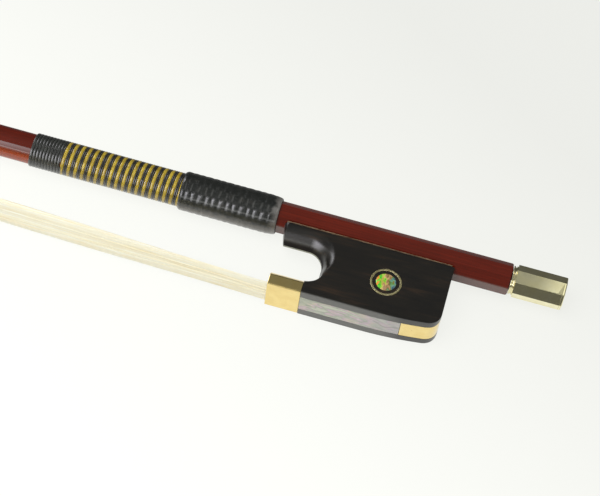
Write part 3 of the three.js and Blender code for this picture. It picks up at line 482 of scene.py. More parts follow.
def grained_leather():
    finish = Finish("leather", Specular_IOR_Level=0.25, Coat_Roughness=0.14, Coat_IOR=1.6)
    field = {"Vector": finish.place(), "Scale": 2.6}
    cells = finish.node("ShaderNodeTexVoronoi", field, "Distance", feature="DISTANCE_TO_EDGE")
    wear = finish.noise((0.5, 0.5, 0.5), detail=5)
    x, _, z = finish.bench()
    specks = finish.noise((2.2, 2.2, 2.2))
    # Painted reflection: the lower side of the grip, towards the table, is painted paler grey in mottled
    # patches.
    painted_reflection_below = finish.grey(z + wear * 3 - specks * 2, (2.4, 0), (0.8, 0.75))
    pale_end = finish.grey(x + wear * 3.0, (-3.2, 0), (-1.2, 0.85))
    tone = finish.ramp(wear, (0.3, paint(14, 17, 15)), (0.55, paint(24, 26, 24)), (0.8, paint(46, 44, 40)))
    tone = finish.mix(painted_reflection_below, tone, paint(92, 86, 78))
    tone = finish.mix(pale_end, tone, paint(120, 116, 112))
    grain = finish.grey(cells, (0.0, 0), (0.25, 1)) * 0.4 + wear + specks * 0.5
    finish.set(Base_Color=tone,
               Roughness=finish.rough(wear, 0.28, 0.42),
               Coat_Weight=finish.grey(specks, (0.35, 0.5), (0.55, 1.0)),
               Normal=finish.bump(grain, 0.06))
    return finish.material


def lapping(name, dark, light, roughness):
    finish = Finish(name, Specular_IOR_Level=0.5, Coat_Weight=1.0, Coat_Roughness=0.22, Coat_IOR=1.55)
    wander = finish.noise((0.4, 0.5, 0.5), detail=4)
    fibres = finish.noise((7, 0.25, 0.25), detail=2)
    finish.set(Base_Color=finish.ramp(wander * 0.9 + fibres * 0.1, (0.35, dark), (0.65, light)),
               Roughness=finish.rough(wander, roughness, roughness * 1.5),
               Normal=finish.bump(fibres, 0.006))
    return finish.material


def horsehair():
    finish = Finish("horsehair", Specular_IOR_Level=0.4)
    lines = finish.noise((0.004, 4, 4), detail=4)
    slow = finish.noise((0.01, 0.5, 0.5), detail=2)
    finish.set(Base_Color=finish.ramp(lines * 0.7 + slow * 0.3, (0.34, paint(246, 230, 190)),
                                      (0.46, paint(255, 248, 220)), (0.62, paint(255, 254, 240))),
               Roughness=finish.rough(lines, 0.4, 0.55),
               Normal=finish.bump(lines, 0.06))
    return finish.material


LEATHER = grained_leather()
YELLOW = lapping("yellow_lapping", paint(150, 124, 12), paint(192, 166, 40), 0.35)
BLACK = lapping("black_lapping", paint(26, 25, 24), paint(44, 42, 38), 0.3)
THREAD = lapping("waxed_thread", paint(24, 26, 24), paint(44, 46, 42), 0.36)
HAIR = horsehair()
print("soft finishes:", LEATHER.name, YELLOW.name, BLACK.name, THREAD.name, HAIR.name)

# %% [markdown]
# ## Tools of the bench
#
# Nearly every piece is one of three things: a run of rings joined by a skin, a profile turned
# on a lathe, or an outline with a thickness. Boolean cuts open slots and pockets in them, and a
# small bevel softens the edges, because no real edge is perfectly sharp and the highlights on
# those thin bevels are what make metal and ebony look solid.

# %% Skins


def new_piece(name, points, faces):
    mesh = bpy.data.meshes.new(name)
    mesh.from_pydata([tuple(float(v) for v in point) for point in points], [], faces)
    turn_faces_out(mesh)
    piece = bpy.data.objects.new(name, mesh)
    bpy.context.scene.collection.objects.link(piece)
    return piece


def turn_faces_out(mesh):
    work = bmesh.new()
    work.from_mesh(mesh)
    bmesh.ops.recalc_face_normals(work, faces=work.faces)
    work.to_mesh(mesh)
    work.free()


def skin(name, rings, closed=False):
    """A skin over rings of points: capped at both ends, or closed from the last ring to the first."""
    rings = [np.asarray(ring, float) for ring in rings]
    count = len(rings[0])
    faces = []
    for r in range(len(rings) if closed else len(rings) - 1):
        here = r * count
        there = (r + 1) % len(rings) * count
        for i in range(count):
            j = (i + 1) % count
            faces.append((here + i, here + j, there + j, there + i))
    if not closed:
        faces.append(tuple(range(count))[::-1])
        faces.append(tuple((len(rings) - 1) * count + i for i in range(count)))
    return new_piece(name, np.concatenate(rings), faces)


print("a skin is:", skin.__doc__)

# %% Slabs and turned shapes
CIRCLE_SIDES = 96


def slab(name, outline, low, high):
    """An outline in X and Y with a thickness in Z. Low and high may follow the height."""
    rings = [[(x, y, side(y)) for x, y in outline] for side in (low, high)]
    return skin(name, rings)


def flat(value):
    return lambda height: value


def along_x(section, x):
    return [(x, y, z) for y, z in section]


def round_turns(sides):
    return np.arange(sides) * 2 * math.pi / sides


def circle(x, radius, sides=CIRCLE_SIDES):
    return [(x, radius * math.sin(t), radius * math.cos(t)) for t in round_turns(sides)]


def lathe(name, profile):
    """A closed profile of [x, radius] points turned about the stick's axis."""
    return skin(name, [circle(x, radius) for x, radius in profile], closed=True)


def block(x0, x1, y0, y1, z0, z1):
    return slab("cutter", [(x0, y0), (x1, y0), (x1, y1), (x0, y1)], flat(z0), flat(z1))


print("a circle has", len(circle(0, 1)), "points")

# %% [markdown]
# The cuts, the bevels and the smoothing of the shading are modifiers. Each is applied at once, so
# that every piece is a plain mesh in the end. Every finished piece goes through one function,
# which sets its material, puts it on its body and hides the solids that it stands for.

# %% Cuts and edges
EDGE_ANGLE = 30


def cut(piece, *cutters, operation="DIFFERENCE"):
    for cutter in cutters:
        change = piece.modifiers.new("cut", "BOOLEAN")
        change.operation = operation
        change.solver = "EXACT"
        change.object = cutter
    settle(piece)
    for cutter in cutters:
        bpy.data.objects.remove(cutter)
    return piece


def settle(piece):
    """Turns what the modifiers make into the piece's plain mesh."""
    view = bpy.context.evaluated_depsgraph_get()
    mesh = bpy.data.meshes.new_from_object(piece.evaluated_get(view))
    piece.modifiers.clear()
    piece.data = mesh
    return piece


def shade(piece, degrees):
    piece.data.shade_smooth()
    piece.data.set_sharp_from_angle(angle=math.radians(degrees))
    return piece


def keep_flats(piece, degrees=EDGE_ANGLE):
    """Smooth shading in which large flat faces stay flat."""
    shade(piece, degrees)
    piece.modifiers.new("flats", "WEIGHTED_NORMAL").keep_sharp = True
    return settle(piece)


def soften(piece, width, segments=2):
    """Breaks the edges where two faces meet at more than the edge angle."""
    bevel = piece.modifiers.new("edges", "BEVEL")
    bevel.width = width
    bevel.segments = segments
    bevel.limit_method = "ANGLE"
    bevel.angle_limit = math.radians(EDGE_ANGLE)
    bevel.use_clamp_overlap = True
    return keep_flats(piece)


def finish_piece(piece, material, body, slot, *nodes):
    """Moves a piece from the bench to the scene, gives it its material and body, and hides the solids that
    it stands for.
    """
    piece.data.transform(TO_SCENE)
    piece.data.materials.clear()
    piece.data.materials.append(material)
    if body:
        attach(piece, body)
    if nodes:
        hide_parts(*nodes)
    print(f"{piece.name}: {len(piece.data.polygons)} faces")
    return piece


print("edges over", EDGE_ANGLE, "degrees are broken")

# %% [markdown]
# ## The stick
#
# The handle is planed to eight flats and the shaft is round, thinning and rising towards the
# head. The head turns down into the shape that holds the hair. All of it is one piece of wood, so
# one skin covers it: rings across the shaft that swing round in the head until they lie on its
# foot. The octagon is made by pushing each point of a ring out to the flat that it belongs to.

# %% Stick sizes
FLATS = 8
HANDLE_FLATS = 9.0
ROUND_DIAMETER = 9.3
TIP_DIAMETER = 6.9
TAPER_START = 84.0
TAPER_POWER = 1.3
CAMBER_POWER = 2.4
CAMBER_RISE = 14.0
HEAD_HEIGHT = 20.0
HEAD_NECK = 14.0
FLATS_END = -14.0
ROUND_START = -24.0
RING_POINTS = 96
HANDLE_END = span("button_collar")[0].x - 0.15
BOW_LENGTH, HEAD_LENGTH, HEAD_WIDTH = 715.0, 25.0, 11.0
HEAD_REAR = span("button_cap")[1].x - BOW_LENGTH + HEAD_LENGTH
TURNS = math.pi / FLATS + round_turns(RING_POINTS)


def axis_height(x):
    return CAMBER_RISE * (np.maximum(0, -np.asarray(x, float)) / -HEAD_REAR) ** CAMBER_POWER


def shaft_ring(x, shrink=0.0):
    share = min(1, max(0, -x - TAPER_START) / (-HEAD_REAR - TAPER_START))
    radius = (ROUND_DIAMETER - (ROUND_DIAMETER - TIP_DIAMETER) * share ** TAPER_POWER) / 2 - shrink
    flat_turn = 2 * math.pi / FLATS
    from_flat = (TURNS + flat_turn / 2) % flat_turn - flat_turn / 2
    octagon = (HANDLE_FLATS / 2 - shrink) / np.cos(from_flat)
    roundness = min(1, max(0, (FLATS_END - x) / (FLATS_END - ROUND_START)))
    reach = octagon + (radius - octagon) * roundness
    height = axis_height(x) + reach * np.sin(TURNS)
    return np.stack([np.full(RING_POINTS, x), height, reach * np.cos(TURNS)], 1)


print("handle ends at", round(HANDLE_END, 2), "and the head starts at", round(HEAD_REAR, 2))

# %% [markdown]
# The head's rings are given by a few of them, from the neck to the foot: where each starts on the
# back of the head, where it ends on the front, and how far it has gone from the round of the
# stick to the outline of the plate. A smooth curve through these few gives the rest.

# %% Head rings
RING_SHARES = np.array([
    [-0.34, 0.985, -0.22, 0.994, 0.00, 0.05],
    [-0.19, 0.900, 0.00, 1.000, 0.02, 0.25],
    [-0.07, 0.750, 0.20, 0.975, 0.08, 0.50],
    [0.005, 0.550, 0.38, 0.885, 0.20, 0.75],
    [0.035, 0.360, 0.51, 0.730, 0.42, 0.90],
    [0.03, 0.210, 0.62, 0.530, 0.65, 1.00],
    [0.015, 0.120, 0.72, 0.350, 0.82, 1.00],
    [0.005, 0.060, 0.86, 0.210, 0.93, 1.00],
    [0.00, 0.020, 0.965, 0.125, 0.98, 1.00],
    [0.00, 0.000, 1.00, 0.040, 1.00, 1.00],
])
PLATE_SHARES = np.array([
    [-1, 0.25], [-1, 0.60], [-1, 0.88], [-0.94, 0.98], [-0.75, 1], [-0.40, 1],
    [-0.10, 0.98], [0.20, 0.93], [0.45, 0.80], [0.68, 0.60], [0.86, 0.38], [1, 0.18],
])
FOOT_SHARES = np.array([[0, 0], [0.62, 0], [0.84, 0.012], [1, 0.04]])
HEAD_TOP = HEAD_HEIGHT + TIP_DIAMETER / 2
PLATE_HIGH, LINER_HIGH, GLUE = 1.1, 0.7, 0.05
HEAD_RINGS, PLATE_STEPS, PLATE_EDGE_TURN = 64, 111, 82.5


def smooth_run(table, steps):
    """Points along a smooth curve through the rows of a table."""
    table = np.vstack([2 * table[0] - table[1], table, 2 * table[-1] - table[-2]])
    rows = []
    for place in np.linspace(0, len(table) - 3 - 1e-9, steps):
        k, t = int(place), place - int(place)
        a, b, c, d = table[k:k + 4]
        rows.append(0.5 * (2 * b + (c - a) * t + (2 * a - 5 * b + 4 * c - d) * t ** 2
                           + (3 * b - a - 3 * c + d) * t ** 3))
    return np.array(rows)


PLATE_CURVE = np.clip(smooth_run(PLATE_SHARES, PLATE_STEPS), -1, 1)
PLATE_CURVE = np.vstack([[-1, 0], PLATE_CURVE, [1, 0]])
PLATE_TURNS = np.linspace(-PLATE_EDGE_TURN, PLATE_EDGE_TURN, PLATE_STEPS)
PLATE_TURNS = np.concatenate([[-90], PLATE_TURNS, [90]])


def head_ring(row):
    """A ring of the head, from the round of the stick to the outline of the plate."""
    back_a, back_b, front_a, front_b, wide, shape = row
    back = np.array([-back_a * HEAD_LENGTH, back_b * (HEAD_TOP - TIP_DIAMETER)])
    front = np.array([-front_a * HEAD_LENGTH, front_b * HEAD_TOP])
    centre, reach = (back + front) / 2, (front - back) / 2
    half = (TIP_DIAMETER + (HEAD_WIDTH - TIP_DIAMETER) * wide) / 2
    lift = np.degrees(np.arcsin(np.sin(TURNS)))
    along = np.interp(lift, PLATE_TURNS, PLATE_CURVE[:, 0])
    across = np.interp(lift, PLATE_TURNS, PLATE_CURVE[:, 1])
    up = np.sin(TURNS) * (1 - shape) + along * shape
    out = np.abs(np.cos(TURNS)) * (1 - shape) + across * shape
    flat_points = centre + np.outer(np.clip(up, -1, 1), reach)
    return np.column_stack([flat_points, np.sign(np.cos(TURNS)) * out * half])


rings_of_head = [head_ring(row) for row in smooth_run(RING_SHARES, HEAD_RINGS)]
print("rings in the head:", len(rings_of_head))

# %% [markdown]
# The head is drawn in a plane of its own, whose zero is the back of the plate's face, because the
# plate lies along the hair and not along the stick. One matrix carries it to the bench. The stick
# is then skinned in one go, and its slots are cut: the slot for the frog's nut and the bore for
# the screw in the handle, and the hair's pocket in the head.

# %% Stick in one skin
HAIR_FRONT = (1.2, -25.55)
HAIR_HEAD = (HEAD_REAR, axis_height(HEAD_REAR) - HEAD_HEIGHT - GLUE - 0.5)
HAIR_SLOPE = (HAIR_HEAD[1] - HAIR_FRONT[1]) / (HAIR_FRONT[0] - HAIR_HEAD[0])
HEAD_PLACE = (Matrix.Translation((HEAD_REAR, axis_height(HEAD_REAR) - HEAD_HEIGHT, 0))
              @ Matrix.Rotation(-math.atan(HAIR_SLOPE), 4, "Z"))
NUT_SLOT = (23.0, 36.0, -9.0, 3.3, -1.8, 1.8)
SCREW_BORE = (12.4, 75.0, 1.6)
POCKET_REAR, POCKET_FRONT, POCKET_HALF, POCKET_DEEP = -11.0, -3.5, 3.6, 6.0
LAYERS_HIGH = PLATE_HIGH + GLUE + LINER_HIGH


def rod(x0, x1, radius, sides=48):
    return skin("rod", [circle(x0, radius, sides), circle(x1, radius, sides)])


def in_bench(ring):
    return [HEAD_PLACE @ Vector(point) for point in ring]


def placed_in_head(piece):
    piece.data.transform(HEAD_PLACE)
    return piece


def foot_line(lift):
    return [(-a * HEAD_LENGTH, b * HEAD_TOP + lift) for a, b in FOOT_SHARES]


def foot_layer(low, high):
    """A layer that follows the foot of the head, between two heights above its face."""
    lower, upper = foot_line(low), foot_line(high)
    tip = -HEAD_LENGTH - 2
    outline = [(HEAD_NECK, low), *lower, (tip, lower[-1][1])]
    outline += [(tip, upper[-1][1]), *upper[::-1], (HEAD_NECK, high)]
    return slab("layer", outline, flat(-HEAD_WIDTH), flat(HEAD_WIDTH))


def head_pocket(deep):
    return block(POCKET_REAR, POCKET_FRONT, -2, deep, -POCKET_HALF, POCKET_HALF)


foot_ring = rings_of_head[-1] - np.array([0, 2, 0])
stick_rings = [shaft_ring(HANDLE_END, 0.5), shaft_ring(HANDLE_END - 0.12, 0.2)]
shaft_places = [HANDLE_END - 0.5, 40, 10, *np.linspace(FLATS_END, ROUND_START, 12)]
shaft_places += [*np.linspace(ROUND_START, HEAD_REAR + HEAD_NECK, 130)[1:]]
stick_rings += [shaft_ring(x) for x in shaft_places]
stick_rings += [in_bench(ring) for ring in rings_of_head + [foot_ring]]
stick = skin("stick_wood", stick_rings)
cut(stick,
    placed_in_head(foot_layer(-4, LAYERS_HIGH + GLUE)),
    placed_in_head(head_pocket(LAYERS_HIGH + POCKET_DEEP)),
    block(*NUT_SLOT),
    rod(*SCREW_BORE))
finish_piece(keep_flats(stick, 28), WOOD, "stick", "varnished_wood", "stick")

# %% [markdown]
# The foot of the head carries a dark liner and a bone plate. Both are slices of the head's own
# shape, so they are made by intersecting it with a layer, which keeps their edges flush.

# %% Plate and liner


def head_slice(name, low, high):
    piece = skin(name, rings_of_head[10:] + [foot_ring])
    cut(piece, foot_layer(low, high), operation="INTERSECT")
    cut(piece, head_pocket(POCKET_DEEP))
    return placed_in_head(soften(piece, 0.12))


plate = head_slice("head_plate", 0, PLATE_HIGH)
finish_piece(plate, BONE, "stick", "bone", "tip_plate")
liner = head_slice("head_liner", PLATE_HIGH + GLUE, LAYERS_HIGH)
finish_piece(liner, EBONY, "stick", "ebony", "tip_plate_liner")

# %% [markdown]
# ## The frog
#
# The frog is a block whose sides lean outwards towards the hair, so its outline is given a
# half width that follows the height. The heel is a slow curve that turns sharply up the back.
# Its outer edges are rounded before anything is cut, as the maker rounds them last by hand.

# %% Frog blank
FROG_LENGTH, FROG_DEPTH, RAIL_TOP = 52.1, 26.6, -3.4
FROG_TOP_HALF, FROG_BOTTOM_HALF = 4.15, 6.5
FROG_BOTTOM = -FROG_DEPTH
SIDE_LEAN = math.atan2(FROG_BOTTOM_HALF - FROG_TOP_HALF, FROG_DEPTH + RAIL_TOP)
HEEL_START, HEEL_CORNER, HEEL_RISE, HEEL_BACK = 30.0, 48.0, 1.2, 6.0
HEEL_RUN = HEEL_CORNER - HEEL_START
LIP_SLANT, LIP_FOOT = 1.5, -9.4
HEEL_STEPS, HEEL_CORNER_STEPS = 14, 22


def half_width(y):
    return FROG_TOP_HALF + (RAIL_TOP - y) * math.tan(SIDE_LEAN)


def heel_height(x):
    return FROG_BOTTOM + HEEL_RISE * (max(0, x - HEEL_START) / HEEL_RUN) ** 2


def heel_path():
    points = [(x, heel_height(x)) for x in np.linspace(HEEL_START, HEEL_CORNER, HEEL_STEPS + 1)]
    start = np.array([HEEL_CORNER, heel_height(HEEL_CORNER)])
    corner = np.array([FROG_LENGTH, start[1] + 2 * HEEL_RISE / HEEL_RUN * (FROG_LENGTH - HEEL_CORNER)])
    end = np.array([FROG_LENGTH, FROG_BOTTOM + HEEL_BACK])
    for t in np.linspace(0, 1, HEEL_CORNER_STEPS + 1)[1:]:
        points.append(tuple((1 - t) ** 2 * start + 2 * t * (1 - t) * corner + t * t * end))
    return points


def heel_line(x0, top, inset):
    """The heel's line from x0 to a height up the back, moved inwards."""
    path = np.array(heel_path() + [(FROG_LENGTH, top)])
    along = np.gradient(path, axis=0)
    along /= np.linalg.norm(along, axis=1)[:, None]
    inner = path + inset * np.column_stack([-along[:, 1], along[:, 0]])
    return [(x0, heel_height(x0) + inset)] + [tuple(p) for p in inner if p[0] > x0]


def round_edges(piece, width, segments, choose):
    """Rounds the edges that choose picks by their two ends, where they bend by over 23 degrees."""
    work = bmesh.new()
    work.from_mesh(piece.data)
    edges = []
    for edge in work.edges:
        if choose(*(end.co for end in edge.verts)) and edge.calc_face_angle(0) > 0.4:
            edges.append(edge)
    bmesh.ops.bevel(work, geom=edges, offset=width, segments=segments, profile=0.5, affect="EDGES",
                    clamp_overlap=True)
    work.to_mesh(piece.data)
    work.free()
    return piece


lip = [(0, RAIL_TOP), (LIP_SLANT, LIP_FOOT), (LIP_SLANT, FROG_BOTTOM)]
frog_outline = lip + heel_path() + [(FROG_LENGTH, RAIL_TOP)]
frog = slab("frog_wood", frog_outline, lambda y: -half_width(y), half_width)
round_edges(frog, 1.6, 6, lambda a, b: max(a.x, b.x) < LIP_SLANT + 0.01 and a.z * b.z > 0)
round_edges(frog, 0.18, 2, lambda a, b: True)
print("frog blank:", len(frog.data.polygons), "faces")

# %% [markdown]
# The throat is cut right through. Where the thumb rests, each side of the frog curves in to a
# ridge in the middle of the throat's edge. The cutter is a stack of the throat's outlines, each a
# little larger towards the side, and the whole stack leans with the side so that it meets evenly.

# %% Throat
THROAT_DEPTH, THROAT_TOP_RADIUS, THROAT_FOOT_RADIUS = 14.4, 5.2, 4.0
TONGUE_TOP, THUMB_SCOOP, SCOOP_DEPTH, SCOOP_FOOT = -22.4, 5.7, 4.5, 2.4
SCOOP_FADE, THROAT_STEPS, SCOOP_LEVELS = 1.3, 16, 30


def throat_arc(centre, radius, start, end):
    """Points of an arc, each with the direction in which the throat grows there."""
    for t in np.linspace(start, end, THROAT_STEPS):
        way = math.cos(t), math.sin(t)
        yield centre[0] + radius * way[0], centre[1] + radius * way[1], *way


def throat_outline(scoop):
    foot = (THROAT_DEPTH - THROAT_FOOT_RADIUS, TONGUE_TOP + THROAT_FOOT_RADIUS)
    top = (THROAT_DEPTH - THROAT_TOP_RADIUS, LIP_FOOT - THROAT_TOP_RADIUS)
    line = [*throat_arc(foot, THROAT_FOOT_RADIUS, -math.pi / 2, 0),
            *throat_arc(top, THROAT_TOP_RADIUS, 0, math.pi / 2)]
    points = [(-2, TONGUE_TOP)]
    for x, y, out_x, out_y in line:
        grown = scoop * ((y - TONGUE_TOP) / (LIP_FOOT - TONGUE_TOP)) ** SCOOP_FADE
        points.append((x + grown * out_x, y + grown * out_y))
    return points + [(-2, LIP_FOOT + scoop)]


def throat_cutter():
    levels = []
    for t in np.linspace(1, 0.04, SCOOP_LEVELS):
        levels.append((-SCOOP_DEPTH * t * t, THUMB_SCOOP * (1 - t) ** 2 + 2 * SCOOP_FOOT * t * (1 - t)))
    levels.append((2.0, THUMB_SCOOP))
    painted_lit_band = [[(x, y, half_width(y) + z) for x, y in throat_outline(s)] for z, s in levels]
    far = [[(x, y, -half_width(y) - z) for x, y in throat_outline(s)] for z, s in levels[::-1]]
    return skin("throat", far + painted_lit_band)


cut(frog, throat_cutter())
print("with its throat:", len(frog.data.polygons), "faces")

# %% [markdown]
# The rest of the frog's cuts fit its other pieces: the trough for the stick, the tongue that the
# ferrule slides over, the space for the hair, the dovetail for the pearl, the bed of the heel
# plate, and the pockets for the ring and the dot of each eye. Each pocket is wider than its piece
# by a line of glue. The ferrule's section is a D, drawn once for the ferrule and, moved inwards,
# for the tongue inside it.

# %% Fittings and the tongue
FERRULE_FRONT, FERRULE_END, FERRULE_WALL = 0.7, 10.8, 0.5
FERRULE_SIDE, FERRULE_DOME, FERRULE_EDGE = 2.8, 2.9, 0.5
DOME_STEPS, EDGE_STEPS = 40, 6
PEARL_END, PEARL_HIGH, PEARL_HALF = 41.1, 0.8, 3.5
EYE_PLACE = (33.8, -15.17)
EYE_RING, EYE_RING_WIDE, EYE_DOT, EYE_DEEP = 4.725, 0.65, 3.0, -0.9
BED_TOP = FROG_BOTTOM + PEARL_HIGH + GLUE + 0.8
HEEL_PLATE_TOP, HEEL_PLATE_THICK, HEEL_PLATE_HALF = -14.0, 0.6, 3.6


def octagon(reach, turn=0.0):
    corner = reach / math.cos(math.pi / FLATS)
    turns = [(k + 0.5) * 2 * math.pi / FLATS + turn for k in range(FLATS)]
    return [(corner * math.sin(t), corner * math.cos(t)) for t in turns]


def prism(section, x0, x1, name="prism"):
    return skin(name, [along_x(section, x0), along_x(section, x1)])


def ferrule_section(inset):
    """A D: a dome over straight sides, with the two edges at its foot rounded."""
    half, floor = FROG_BOTTOM_HALF - inset, FROG_BOTTOM + inset
    shoulder = FROG_BOTTOM + FERRULE_EDGE + FERRULE_SIDE
    rise = FERRULE_DOME - inset
    radius = (half ** 2 + rise ** 2) / (2 * rise)
    spread = math.asin(half / radius)
    turns = np.linspace(spread, -spread, DOME_STEPS)
    points = [(shoulder + rise - radius * (1 - math.cos(t)), radius * math.sin(t)) for t in turns]
    edge = max(FERRULE_EDGE - inset, 0.1)
    for side, run in ((-1, np.linspace(0, 1, EDGE_STEPS)), (1, np.linspace(1, 0, EDGE_STEPS))):
        for t in run * math.pi / 2:
            points.append((floor + edge * (1 - math.sin(t)), side * (half - edge * (1 - math.cos(t)))))
    return points


def tongue_trim():
    room = block(-2, FERRULE_END + GLUE, FROG_BOTTOM - 2, TONGUE_TOP + 2, -13, 13)
    tongue = prism(ferrule_section(FERRULE_WALL + GLUE), FERRULE_FRONT + GLUE, FERRULE_END + 2)
    return cut(room, tongue)


print("bed of the heel plate at", round(BED_TOP, 2), "mm")

# %% [markdown]
# The pearl sits in a dovetail. The heel plate lies in a band that follows the heel. The hair's
# mortise has its upper front corner cut off, because the thumb scoop would break into a square
# one there.

# %% Grooves and the mortise
MORTISE_FRONT, MORTISE_END, MORTISE_TOP, MORTISE_HALF = 15.05, 24.05, -15.85, 4.75
MORTISE_CORNER_X, MORTISE_CORNER_Y = 16.4, -18.6
DOVETAIL = 0.6


def slide_groove():
    half, deep = PEARL_HALF + GLUE, FROG_BOTTOM + PEARL_HIGH
    section = [(FROG_BOTTOM - 2, -half), (FROG_BOTTOM - 2, half), (deep - GLUE, half),
               (BED_TOP + GLUE, half + DOVETAIL), (BED_TOP + GLUE, -half - DOVETAIL),
               (deep - GLUE, -half)]
    return prism(section, -2, PEARL_END + GLUE)


def heel_band(start, top, outer, inner, half, name="band"):
    """A band between two depths under the heel's line, up to a height on the back."""
    outline = heel_line(start, top, outer) + heel_line(start, top, inner)[::-1]
    return slab(name, outline, flat(-half), flat(half))


def frog_mortise():
    floor = FROG_BOTTOM + PEARL_HIGH
    outline = [(MORTISE_FRONT, floor), (MORTISE_FRONT, MORTISE_CORNER_Y), (MORTISE_CORNER_X, MORTISE_TOP),
               (MORTISE_END, MORTISE_TOP), (MORTISE_END, floor)]
    return slab("mortise", outline, flat(-MORTISE_HALF), flat(MORTISE_HALF))


print("mortise is", round(MORTISE_END - MORTISE_FRONT, 2), "mm long")

# %% [markdown]
# The eyes stand square to the leaning sides of the frog, so each is turned on an axis of its own.
# All the cuts are then made at once.

# %% Eye pockets and all the cuts
HAIR_ROOM_TOP, HAIR_ROOM_HALF, HAIR_ROOM_FRONT, HAIR_ROOM_END = -23.85, 5.35, 8, 17
TROUGH_REACH = 5.1


def eye_matrix(side):
    lean = Matrix.Rotation(-side * SIDE_LEAN, 4, "X")
    over = Matrix.Rotation(0 if side > 0 else math.pi, 4, "X")
    return Matrix.Translation((*EYE_PLACE, side * half_width(EYE_PLACE[1]))) @ lean @ over


def eye_lathe(name, profile, side, closed):
    """A profile of [radius, height] points turned about the eye's own axis."""
    turns = round_turns(CIRCLE_SIDES)
    rings = [[(r * math.cos(t), r * math.sin(t), z) for t in turns] for r, z in profile]
    piece = skin(name, rings, closed)
    piece.data.transform(eye_matrix(side))
    return piece


def eye_pockets(side):
    outer, inner, floor = EYE_RING + GLUE, EYE_RING - EYE_RING_WIDE - GLUE, EYE_DEEP - GLUE
    yield eye_lathe("pocket", [(inner, floor), (outer, floor), (outer, 2), (inner, 2)], side, True)
    yield eye_lathe("pocket", [(EYE_DOT + GLUE, floor), (EYE_DOT + GLUE, 2)], side, False)


cut(frog,
    prism(octagon(TROUGH_REACH), -2, FROG_LENGTH + 2),
    tongue_trim(),
    block(-2, FERRULE_END + GLUE, FROG_BOTTOM - 2, HAIR_ROOM_TOP, -HAIR_ROOM_HALF, HAIR_ROOM_HALF),
    block(HAIR_ROOM_FRONT, HAIR_ROOM_END, FROG_BOTTOM + PEARL_HIGH, HAIR_ROOM_TOP,
          -HAIR_ROOM_HALF, HAIR_ROOM_HALF),
    frog_mortise(),
    slide_groove(),
    heel_band(PEARL_END, HEEL_PLATE_TOP + GLUE, -2, HEEL_PLATE_THICK + GLUE, HEEL_PLATE_HALF + GLUE),
    *eye_pockets(1), *eye_pockets(-1))
finish_piece(keep_flats(frog), EBONY, "frog", "ebony", "frog_body")

# %% [markdown]
# ## Metal and shell on the frog
#
# The ferrule is a bent band with a D shaped section: an outer and an inner ring at each end,
# closed into a tube. The slide, the heel plate and the eyes are inlaid flush, with edges just
# broken, and the ring round the eye has a rounded top.

# %% Ferrule, slide and heel plate
rings = [along_x(ferrule_section(depth), x) for depth, x in (
    (0, FERRULE_FRONT), (0, FERRULE_END), (FERRULE_WALL, FERRULE_END), (FERRULE_WALL, FERRULE_FRONT))]
ferrule = soften(skin("ferrule_band", rings, closed=True), 0.14, segments=3)
finish_piece(ferrule, GILT, "frog", "gilt_metal", "ferrule")

pearl_outline = [(FERRULE_END + GLUE, FROG_BOTTOM + PEARL_HIGH), (FERRULE_END + GLUE, FROG_BOTTOM)]
pearl_outline += [p for p in heel_path() if p[0] < PEARL_END]
pearl_outline += [(PEARL_END, heel_height(PEARL_END)), (PEARL_END, FROG_BOTTOM + PEARL_HIGH)]
slide = soften(slab("pearl_face", pearl_outline, flat(-PEARL_HALF), flat(PEARL_HALF)), 0.07)
finish_piece(slide, PEARL, "frog", "pearl", "pearl_slide")

heel = heel_band(PEARL_END + 2 * GLUE, HEEL_PLATE_TOP, 0, HEEL_PLATE_THICK, HEEL_PLATE_HALF, "heel_metal")
heel = soften(heel, 0.1)
finish_piece(heel, GILT, "frog", "gilt_metal", "heel_plate")

# %% Eyes
for side, name in ((1, "left"), (-1, "right")):
    outer, inner = EYE_RING, EYE_RING - EYE_RING_WIDE
    crown = [(outer, EYE_DEEP), (outer, 0.02), (outer - 0.03, 0.07), (outer - 0.10, 0.10)]
    crown += [(inner + 0.10, 0.10), (inner + 0.03, 0.07), (inner, 0.02), (inner, EYE_DEEP)]
    ring = shade(eye_lathe(f"ring_{name}", crown, side, True), 50)
    finish_piece(ring, EYE_RING_METAL, "frog", "gilt_metal", f"eye_ring_{name}")
    dome = [(EYE_DOT, EYE_DEEP), (EYE_DOT, 0.0), (EYE_DOT - 0.08, 0.05)]
    dome += [(r, 0.05 + 0.09 * (1 - (r / EYE_DOT) ** 2)) for r in (2.6, 2.0, 1.3, 0.6, 0.1)]
    dot = shade(eye_lathe(f"dot_{name}", dome, side, False), 50)
    finish_piece(dot, ABALONE, "frog", "abalone", f"eye_dot_{name}")

# %% [markdown]
# ## The button
#
# A grooved collar is followed by an octagonal shell and its end plate, all turned a little
# against the handle, as a button stops anywhere. The corners between the flats are polished
# round, and that rounding gives the bright lines along the metal.

# %% Button
COLLAR_RADIUS, COLLAR_GROOVE, COLLAR_BORE = 4.35, 0.35, 3.2
SHELL_REACH, SHELL_BORE, BUTTON_TURN = 4.6, 4.0, math.radians(-12.5)
collar_low, collar_high = span("button_collar")
shell_low, shell_high = span("button_shell")
BUTTON_TIP = span("button_cap")[1].x
third = (collar_high.x - collar_low.x) / 3
groove_start, groove_end = collar_low.x + third, collar_high.x - third
groove_foot = COLLAR_RADIUS - COLLAR_GROOVE
collar_profile = [
    (collar_low.x, COLLAR_BORE), (collar_low.x, COLLAR_RADIUS), (groove_start, COLLAR_RADIUS),
    (groove_start, groove_foot), (groove_end, groove_foot), (groove_end, COLLAR_RADIUS),
    (collar_high.x, COLLAR_RADIUS), (collar_high.x, COLLAR_BORE),
]
collar = soften(lathe("collar_metal", collar_profile), 0.1, segments=3)
finish_piece(collar, BUTTON_METAL, "button", "gilt_metal", "button_collar")

